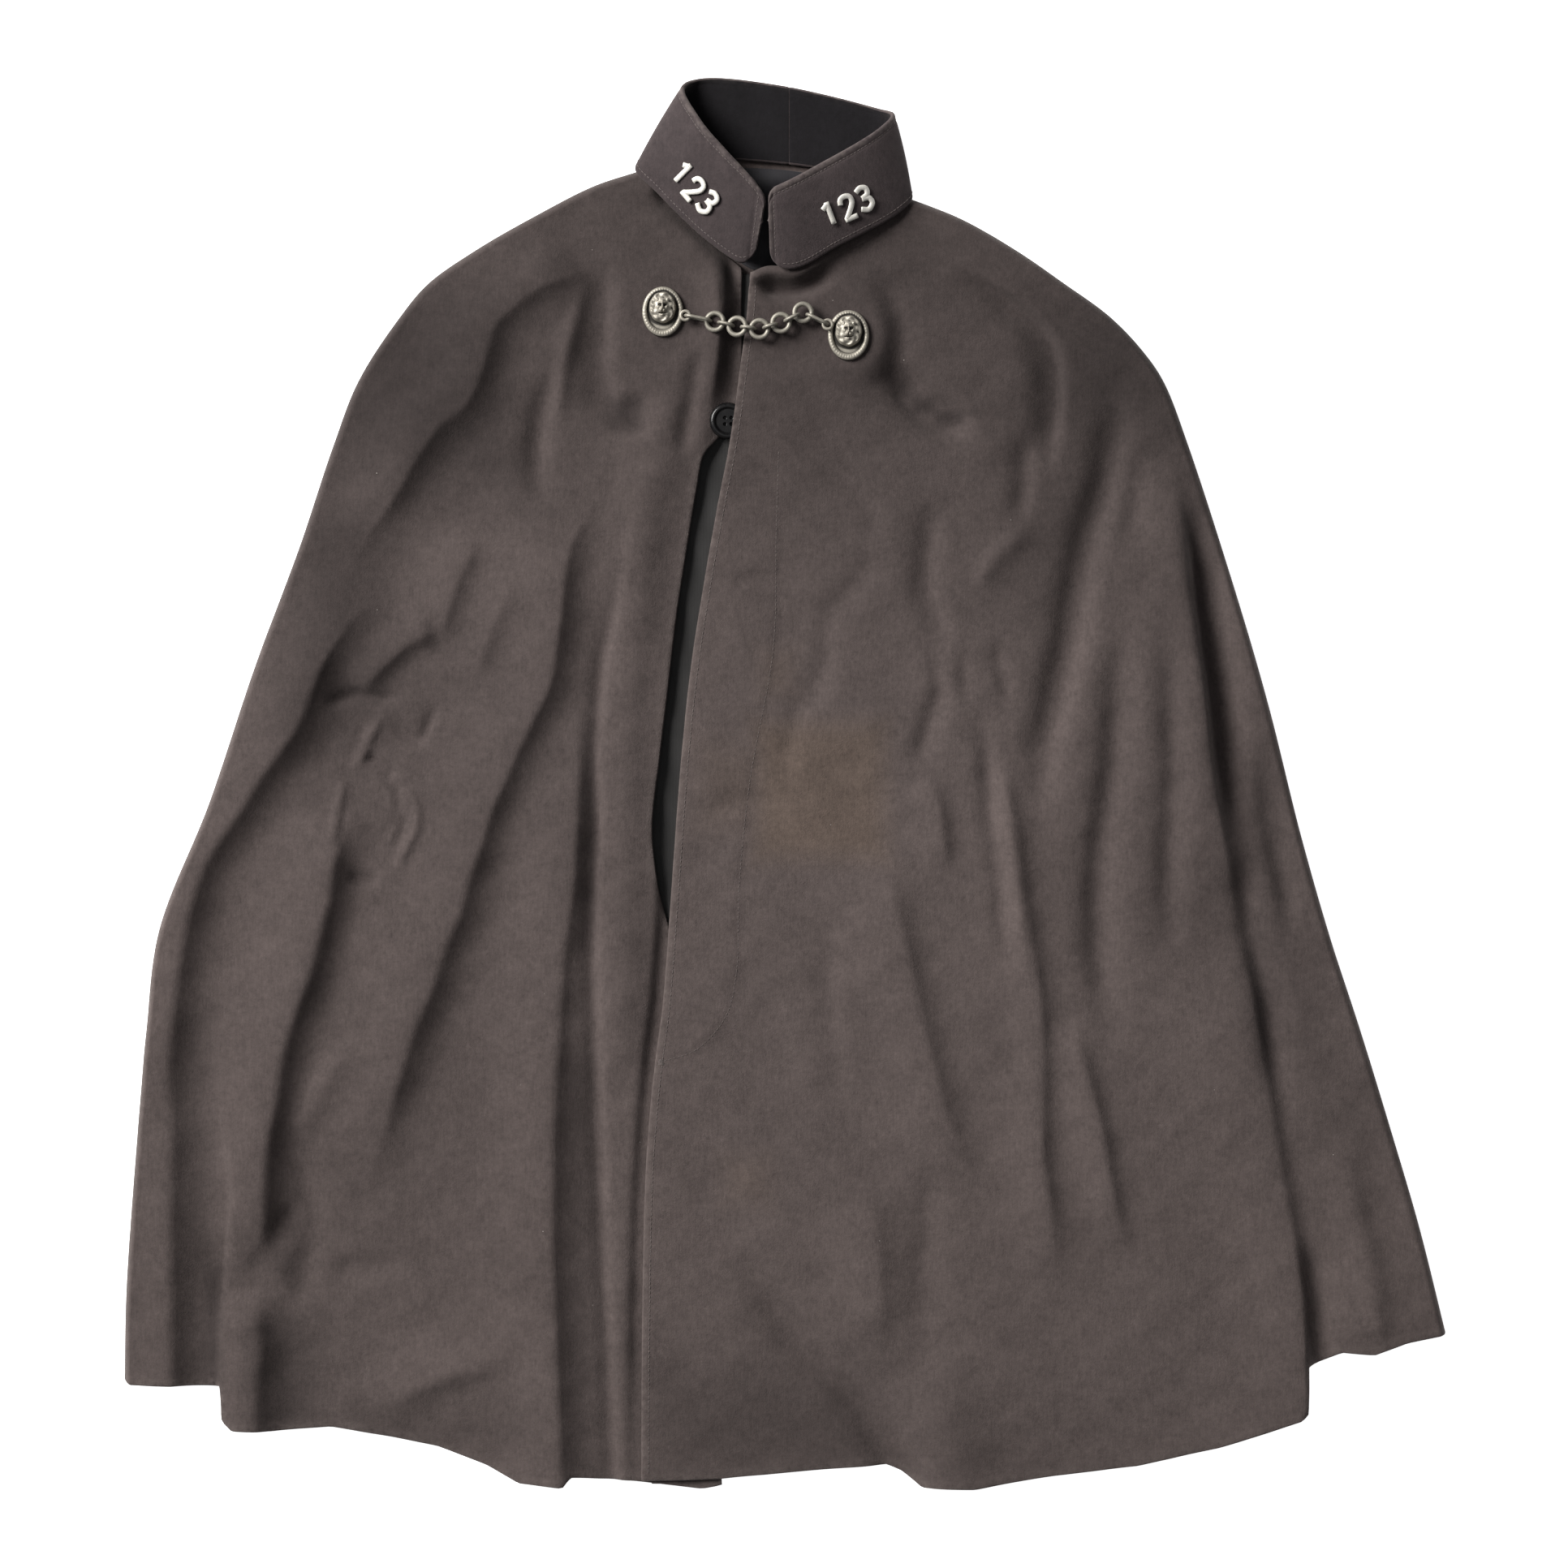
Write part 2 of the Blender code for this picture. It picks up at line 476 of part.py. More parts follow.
def inset(curve, distance, inwards):
    """Move a curve sideways, towards the given sign of X."""
    run = np.gradient(curve, axis=0)
    run /= np.linalg.norm(run, axis=1, keepdims=True)
    sideways = np.stack([-run[:, 1], run[:, 0]], axis=1) * inwards
    return curve + distance * sideways


def make_back():
    """The back lies flat on the surface inside the fronts' turned edges."""
    near = inset(smooth_curve(RIGHT_SIDE, 160), BACK_INSET, 1.0)
    far = inset(smooth_curve(LEFT_SIDE, 160), BACK_INSET, -1.0)
    neck = smooth_curve([near[0], *BACK_NECK[1:-1], far[0]], 60)
    foot = smooth_curve([near[-1], *BACK_HEM[1:-1], far[-1]], 120)
    return flat_piece("back", near, far, neck, foot, BACK_ACROSS, BACK_DOWN, 0.0, CLOTH, "wool")


def make_button_stand():
    """The strip inside the right front's edge that shows in the opening."""
    near = smooth_curve(STAND_OUTER, 80)
    far = smooth_curve(STAND_INNER, 80)
    ends = [corner_curve([near[k], far[k]], 10) for k in (0, -1)]
    return flat_piece("button_stand", near, far, *ends, 4, 22, CLOTH + SEAM, LINING_CLOTH, "lining")


def make_neck_lining():
    """The lining that shows inside the neck."""
    top = smooth_curve(LINING_TOP, 20)
    foot = smooth_curve(LINING_FOOT, 20)
    sides = [corner_curve([top[k], foot[k]], 10) for k in (0, -1)]
    return flat_piece("neck_lining", *sides, top, foot, 10, 4, CLOTH + SEAM, LINING_CLOTH, "lining")


def collar_curves(count):
    """Foot and top edges of the whole collar, with the part of the way of its back seam."""
    foot = np.array([s.foot for s in COLLAR])
    top = np.array([s.top for s in COLLAR])
    both = smooth_curve(np.concatenate([foot, top], axis=1), count)
    seam = int(np.argmin(np.abs(both[:, 0] - foot[COLLAR_BACK_SEAM][0])
                         + 10.0 * (both[:, 2] > 0.012)))
    return both, seam / (count - 1)


def collar_parts(front, seam):
    """Where one half's sections are, closer together at its rounded front end."""
    corner = 0.02 if seam > front else -0.02
    turned = front + corner * np.array([0.0, 0.05, 0.2, 0.5])
    return np.concatenate([turned, np.linspace(front + corner, seam, 22)])


def collar_grid(front, seam):
    """Points of one half of the collar, foot to top, with its front end rounded off."""
    both, _ = collar_curves(600)
    line = point_on(both, collar_parts(front, seam))
    run = np.concatenate([[0.0], np.cumsum(np.linalg.norm(np.diff(line[:, :3], axis=0), axis=1))])
    back = np.clip(1.0 - run / COLLAR_CORNER, 0.0, 1.0)
    trim = COLLAR_CORNER * (1.0 - np.sqrt(np.maximum(1.0 - back**2, 0.0)))
    grid = []
    for place, cut in zip(line, trim):
        foot, top = place[:3], place[3:]
        up = (top - foot) / np.linalg.norm(top - foot)
        low, high = foot + up * cut, top - up * cut
        grid.append([low + (high - low) * k / 3.0 for k in range(4)])
    return np.array(grid)


def make_collar_half(name, front, seam):
    """One half of the collar from its front end to the back seam."""
    grid = collar_grid(front, seam)
    normal = np.cross(np.gradient(grid, axis=1), np.gradient(grid, axis=0))
    normal /= np.linalg.norm(normal, axis=2, keepdims=True)
    outer = grid + 0.5 * COLLAR_CLOTH * normal
    inner = grid - 0.5 * COLLAR_CLOTH * normal
    return shell(name, outer, inner, "wool")


def tube(path, wide, thick, sides, closed, flat_up):
    """Points and faces of a bar that follows a path; flat_up is the way its thickness faces."""
    path = np.array(path, float)
    if closed:
        run = np.roll(path, -1, axis=0) - np.roll(path, 1, axis=0)
    else:
        run = np.gradient(path, axis=0)
    run /= np.linalg.norm(run, axis=1, keepdims=True)
    up = np.array(flat_up, float) - (run @ np.array(flat_up, float))[:, None] * run
    up /= np.linalg.norm(up, axis=1, keepdims=True)
    out = np.cross(run, up)
    points = []
    for p, o, u in zip(path, out, up):
        for k in range(sides):
            turn = 2.0 * math.pi * (k + 0.5) / sides
            points.append(p + 0.5 * wide * math.cos(turn) * o + 0.5 * thick * math.sin(turn) * u)
    faces = []
    rows = len(path)
    for r in range(rows if closed else rows - 1):
        for k in range(sides):
            a, b = r * sides + k, r * sides + (k + 1) % sides
            c, d = (r + 1) % rows * sides + (k + 1) % sides, (r + 1) % rows * sides + k
            faces.append((a, b, c, d))
    if not closed:
        faces.append(tuple(range(sides)))
        faces.append(tuple(reversed(range((rows - 1) * sides, rows * sides))))
    return points, faces


def ring_path(radius, straight, count):
    """A loop in X and Y: two half circles joined by straight runs along X."""
    path = []
    for k in range(count):
        turn = 2.0 * math.pi * (k + 0.5) / count
        shift = straight if math.cos(turn) > 0.0 else -straight
        path.append((radius * math.cos(turn) + shift, radius * math.sin(turn), 0.0))
    return np.array(path)


def cloth_top(x, y, reach):
    """The highest cloth within a short reach of a place."""
    turns = np.linspace(0.0, 2.0 * math.pi, 12, endpoint=False)
    places = [(x, y)]
    places += [(x + r * math.cos(t), y + r * math.sin(t)) for r in (0.5 * reach, reach) for t in turns]
    places = np.array(places)
    right = right_height(places)
    left = left_height(places)
    cover = smooth_curve(LEFT_EDGE, 120)
    _, side, _ = nearest_on(cover, places)
    return float(np.where(side < 0.0, right, np.maximum(left, right)).max())


def boss_foot(centre, seat):
    """Where a boss sits on the cloth."""
    return Vector((centre[0], centre[1], seat + SEAM))


def eye_of(foot, towards):
    """Where a boss's eye is, on the side that faces the chain."""
    way = Vector((towards[0] - foot.x, towards[1] - foot.y, 0.0)).normalized()
    return foot + way * (0.5 * BOSS_WIDE + 0.0016) + Vector((0.0, 0.0, EYE_HEIGHT))


def turned(profile, wide, tall, turns):
    """Points and faces of an oval turned on Z: each profile row is a share of the radius and a height."""
    points = [(0.0, 0.0, profile[0][1])]
    for across, up in profile:
        for k in range(turns):
            turn = 2.0 * math.pi * k / turns
            points.append((0.5 * wide * across * math.cos(turn), 0.5 * tall * across * math.sin(turn), up))
    points.append((0.0, 0.0, profile[-1][1]))
    faces = []
    for k in range(turns):
        nxt = (k + 1) % turns
        faces.append((0, 1 + nxt, 1 + k))
        for r in range(len(profile) - 1):
            a, b = 1 + r * turns + k, 1 + r * turns + nxt
            faces.append((a, b, b + turns, a + turns))
        last = 1 + (len(profile) - 1) * turns
        faces.append((last + k, last + nxt, len(points) - 1))
    return points, faces


def make_boss(name, foot, eye):
    """An oval mask on a rimmed plate, with the eye that holds the chain."""
    profile = [
        (1.00, 0.0), (1.00, 0.70 * BOSS_RIM), (0.95, BOSS_RIM), (0.90, BOSS_RIM),
        (0.88, 0.85 * BOSS_RIM), (0.86, 0.80 * BOSS_WALL), (0.80, BOSS_WALL),
        (0.55, 0.88 * BOSS_CROWN), (0.25, BOSS_CROWN),
    ]
    points, faces = turned(profile, BOSS_WIDE, BOSS_TALL, 28)
    boss = add_solid(name, [Vector(p) + foot for p in points], faces, "white_metal")
    loop, loop_faces = tube(ring_path(EYE_RADIUS, 0.0, 16), 2 * EYE_WIRE, 2 * EYE_WIRE, 8, True, (0, 0, 1))
    ring = add_solid("eye", [Vector(p) + eye for p in loop], loop_faces, "white_metal")
    join(boss, ring)
    return boss


def join(kept, added):
    """Weld one solid into another and take the second away."""
    weld = kept.modifiers.new("weld", "BOOLEAN")
    weld.operation = "UNION"
    weld.solver = "EXACT"
    weld.object = added
    shaped = kept.evaluated_get(bpy.context.evaluated_depsgraph_get())
    mesh = bpy.data.meshes.new_from_object(shaped)
    kept.modifiers.clear()
    kept.data = mesh
    bpy.data.objects.remove(added, do_unlink=True)


def chain_places():
    """Middles of the chain's rings, at the height that clears the cloth."""
    places = []
    for x, y in RINGS:
        places.append(Vector((x, y, cloth_top(x, y, 0.008) + CHAIN_CLEARANCE)))
    return places


def make_ring(name, middle, along):
    """A flat ring of the chain."""
    path = ring_path(RING_RADIUS, 0.0, 16)
    points, faces = tube(path, 2 * RING_WIRE, 2 * RING_WIRE, 6, True, (0, 0, 1))
    x = Vector(along).normalized()
    y = Vector((0, 0, 1)).cross(x).normalized()
    turn = Matrix((x, y, x.cross(y))).transposed()
    return add_solid(name, [turn @ Vector(p) + middle for p in points], faces, "white_metal")


def make_link(name, first, second, first_radius, second_radius):
    """An upright link through two loops, given their middles."""
    way = (second - first).normalized()
    from_wire = first + way * first_radius
    to_wire = second - way * second_radius
    middle = 0.5 * (from_wire + to_wire)
    straight = max(0.5 * ((to_wire - from_wire).length - WIRE_SPACING), 0.0)
    path = ring_path(LINK_RADIUS, straight, 16)
    points, faces = tube(path, 2 * LINK_WIRE, 2 * LINK_WIRE, 6, True, (0, 0, 1))
    side = Vector((0, 0, 1)).cross(way).normalized()
    upright = way.cross(side)
    turn = Matrix((way, upright, way.cross(upright))).transposed()
    return add_solid(name, [turn @ Vector(p) + middle for p in points], faces, "white_metal")


def make_chain_and_bosses():
    """Two bosses and the chain that is fastened between them."""
    rings = chain_places()
    right_foot = boss_foot(BOSS_RIGHT, RIGHT_SEAT)
    left_foot = boss_foot(BOSS_LEFT, LEFT_SEAT)
    right_eye = eye_of(right_foot, rings[0])
    left_eye = eye_of(left_foot, rings[-1])
    make_boss("boss_right", right_foot, right_eye)
    make_boss("boss_left", left_foot, left_eye)
    stops = [right_eye] + rings + [left_eye]
    radii = [EYE_RADIUS] + [RING_RADIUS] * len(rings) + [EYE_RADIUS]
    for k, middle in enumerate(rings):
        make_ring(f"chain_ring_{k + 1}", middle, stops[k + 2] - stops[k])
    for k in range(len(stops) - 1):
        make_link(f"chain_link_{k + 1}", stops[k], stops[k + 1], radii[k], radii[k + 1])


def make_button():
    """A round button with a raised rim, on the right front."""
    rows = [(0.88, 0.0), (1.0, 0.30), (1.0, 0.75), (0.93, 1.0), (0.84, 0.95), (0.74, 0.70)]
    profile = [(across, up * BUTTON_THICK) for across, up in rows]
    points, faces = turned(profile, 2 * BUTTON_RADIUS, 2 * BUTTON_RADIUS, 24)
    foot = Vector((*BUTTON_AT, cloth_top_right(*BUTTON_AT, BUTTON_RADIUS) + SEAM))
    return add_solid("button", [Vector(p) + foot for p in points], faces, "black_plastic")


def cloth_top_right(x, y, reach):
    """The highest point of the right front within a short reach of a place."""
    turns = np.linspace(0.0, 2.0 * math.pi, 16, endpoint=False)
    places = [(x, y)]
    places += [(x + r * math.cos(t), y + r * math.sin(t)) for r in (0.5 * reach, reach) for t in turns]
    return float(right_height(np.array(places)).max())


def collar_surface():
    """A fine grid of points over the whole collar's outer face, with its normals."""
    both, _ = collar_curves(600)
    parts = np.linspace(0.0, 1.0, 25)[None, :, None]
    grid = both[:, None, :3] * (1 - parts) + both[:, None, 3:] * parts
    normal = np.cross(np.gradient(grid, axis=1), np.gradient(grid, axis=0))
    normal /= np.linalg.norm(normal, axis=2, keepdims=True)
    return grid.reshape(-1, 3), normal.reshape(-1, 3)


def make_numerals():
    """Three plain numerals on each front end of the collar."""
    surface, normals = collar_surface()
    facing = normals[:, 2] > 0.2
    if facing.sum() < 0.2 * len(normals):
        facing = normals[:, 2] < -0.2
    surface, normals = surface[facing], normals[facing]
    normals = normals * np.sign(normals[:, 2:3])
    for side, centre, slope in NUMERAL_ROWS:
        angle = math.radians(slope)
        for k, strokes in enumerate(STROKES.values()):
            x = centre[0] + (k - 1) * NUMERAL_PITCH * math.cos(angle)
            y = centre[1] + (k - 1) * NUMERAL_PITCH * math.sin(angle)
            near = int(np.argmin(np.hypot(surface[:, 0] - x, surface[:, 1] - y)))
            up = Vector(normals[near])
            right = Vector((math.cos(angle), math.sin(angle), 0.0))
            right = (right - up * right.dot(up)).normalized()
            raised = up.cross(right)
            lift = 0.5 * COLLAR_CLOTH + 0.5 * NUMERAL_THICK + 2.0 * SEAM
            middle = Vector(surface[near]) + up * lift
            turn = Matrix((right, raised, up)).transposed()
            make_numeral(f"numeral_{side}_{k + 1}", strokes, turn, middle)


def make_numeral(name, strokes, turn, middle):
    """One numeral of two strokes, turned to lie on the collar."""
    bars = []
    for stroke in strokes:
        count = 14 if len(stroke) > 2 else 2
        path = smooth_curve([(a, b, 0.0) for a, b in stroke], count) * (NUMERAL_HEIGHT - NUMERAL_WIDTH)
        points, faces = tube(path, NUMERAL_WIDTH, NUMERAL_THICK, 6, False, (0, 0, 1))
        bars.append(add_solid(name, [turn @ Vector(p) + middle for p in points], faces, "white_metal"))
    join(*bars)


def main():
    clear_file()
    make_back()
    make_button_stand()
    make_neck_lining()
    make_front("front_right", front_plan(RIGHT_EDGE, RIGHT_SIDE, RIGHT_NECK, RIGHT_HEM), right_height)
    make_front("front_left", front_plan(LEFT_EDGE, LEFT_SIDE, LEFT_NECK, LEFT_HEM), left_height)
    _, seam = collar_curves(600)
    make_collar_half("collar_right", 0.0, seam - HALF_SEAM)
    make_collar_half("collar_left", 1.0, seam + HALF_SEAM)
    make_button()
    make_chain_and_bosses()
    make_numerals()


main()
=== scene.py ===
"""Looks of a short wool cape with a stand collar, laid flat on its back with the front up.

X runs to the viewer's right, Y towards the collar and Z up from the surface it lies on.
Shapes are worked out in millimetres and turned into metres when a mesh is made.
Right and left in names are the wearer's, so the right front is on the viewer's left.
"""
import json
import math
from collections import namedtuple

import bmesh
import bpy
import numpy as np
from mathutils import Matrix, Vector

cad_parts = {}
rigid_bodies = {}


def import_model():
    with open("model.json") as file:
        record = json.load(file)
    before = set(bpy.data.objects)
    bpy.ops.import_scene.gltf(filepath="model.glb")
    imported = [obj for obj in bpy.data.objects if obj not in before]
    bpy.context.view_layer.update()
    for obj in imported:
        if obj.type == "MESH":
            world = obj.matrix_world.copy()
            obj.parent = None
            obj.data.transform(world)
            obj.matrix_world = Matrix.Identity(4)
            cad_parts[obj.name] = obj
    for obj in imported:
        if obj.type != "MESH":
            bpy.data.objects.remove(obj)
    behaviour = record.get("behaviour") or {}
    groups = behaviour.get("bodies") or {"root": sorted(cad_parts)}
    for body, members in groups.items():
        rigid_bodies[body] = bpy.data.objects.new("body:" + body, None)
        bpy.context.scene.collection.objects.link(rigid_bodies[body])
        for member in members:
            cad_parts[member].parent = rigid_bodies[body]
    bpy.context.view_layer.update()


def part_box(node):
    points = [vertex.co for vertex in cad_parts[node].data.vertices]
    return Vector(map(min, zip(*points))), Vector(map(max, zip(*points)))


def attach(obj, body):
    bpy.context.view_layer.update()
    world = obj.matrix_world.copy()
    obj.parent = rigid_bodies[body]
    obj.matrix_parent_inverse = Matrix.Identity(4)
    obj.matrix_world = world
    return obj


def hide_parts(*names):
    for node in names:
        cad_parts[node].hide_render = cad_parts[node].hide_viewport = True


MM = 0.001

# Cloth, and how the fronts lie over the back
CLOTH = 2.3
COLLAR_CLOTH = 3.0
LINING_CLOTH = 1.1
SEAM = 0.3
EDGE_ROUND = 6.0
RIGHT_LOFT = 11.5
LEFT_LOFT = 13.5
LOWEST = 5.4
UNDERLAP_HEIGHT = 7.8
UNDERLAP_START = 4.0
# How far from the left front's edge the right front is back at its own height, from hem to neck
UNDERLAP_RISE = [(-480, 10), (-200, 8), (-90, 8), (-40, 11), (60, 14), (230, 16), (345, 14)]
BACK_INSET = 4.2

# Plan of the right front: edge and side run from neck to hem, neck and hem from edge to side
RIGHT_NECK = [(-30, 347), (-57, 372.5), (-98.5, 414.5)]
RIGHT_EDGE = [
    (-30, 347), (-30, 300), (-31, 262), (-36.5, 244), (-47, 232), (-55.8, 221.5), (-60.5, 199),
    (-67.6, 156), (-74.2, 112.2), (-79.3, 68.4), (-86, 13.7), (-90.5, -30), (-87, -66), (-79, -100),
    (-72, -160), (-66, -240), (-56, -360), (-43.7, -473.6),
]
RIGHT_SIDE = [
    (-98.5, 414.5), (-129.5, 404.3), (-172.4, 382.3), (-210.4, 360.3), (-241.7, 338.3), (-260.4, 316.3),
    (-289, 272.3), (-306.1, 228.3), (-328.1, 162.3), (-360.5, 74.3), (-389.7, -13.8), (-423.5, -100),
    (-432, -167.8), (-439.7, -255.8), (-445.8, -343.8), (-447, -401),
]
RIGHT_HEM = [
    (-43.7, -473.6), (-56.4, -475.8), (-103.1, -470.3), (-144.4, -467.5), (-149.9, -474.1),
    (-180.1, -471.4), (-202.1, -459.3), (-235.1, -446.6), (-268.1, -440), (-306.6, -433.4),
    (-345.1, -435.6), (-372.6, -435.6), (-379.6, -429), (-381.2, -405.5), (-441.4, -404.3), (-447, -401),
]

# Plan of the left front, in the same way
LEFT_NECK = [(-23.3, 343), (-13, 347.3), (8, 348), (29, 361), (51, 373), (83.5, 396)]
LEFT_EDGE = [
    (-23.3, 343), (-24.6, 318), (-29.4, 280), (-36, 232), (-45.8, 181), (-55.3, 126), (-62.3, 80),
    (-69.2, 15), (-75.8, -75), (-81.6, -150), (-86.2, -185), (-89.5, -215), (-93.2, -266.8),
    (-95.4, -371.3), (-96, -470),
]
LEFT_SIDE = [
    (83.5, 396), (118.5, 382.3), (157, 360.3), (188.9, 338.3), (219.2, 316.3), (240.6, 294.3),
    (256, 272.3), (273.1, 228.3), (301.7, 140.3), (327.5, 52.3), (349.5, -35.8), (368.2, -101.8),
    (389.7, -167.8), (410, -233.8), (429.3, -299.8), (447, -371.3),
]
LEFT_HEM = [
    (-96, -470), (-43.7, -468.6), (17.9, -463.1), (68.5, -459.3), (78.4, -463.7), (92.1, -475),
    (127.9, -475.2), (182.9, -465.9), (237.9, -459.3), (292.9, -447.2), (347.9, -429), (352.6, -425),
    (353.2, -393), (375.4, -383.4), (397.4, -385), (419.4, -376.8), (447, -371.3),
]

# Plan of the pieces that lie under the fronts
BACK_NECK = [(-98.5, 414.5), (-50, 423.5), (2.5, 423), (48, 413.5), (83.5, 396)]
BACK_HEM = [(-447, -399), (-350, -402), (-180, -433), (0, -440), (190, -428), (340, -385), (447, -369)]
STAND_OUTER = [
    (-50, 344), (-56, 275), (-74, 200), (-90, 100), (-103, 0), (-110, -150), (-108, -300), (-90, -473.5),
]
STAND_INNER = [
    (-4, 344), (-10, 275), (-26, 200), (-40, 100), (-50, 0), (-56, -150), (-54, -300), (-44.5, -473.5),
]
LINING_TOP = [(-60, 416.5), (0, 414), (56, 404)]
LINING_FOOT = [(-56, 374), (-15, 346), (56, 366)]

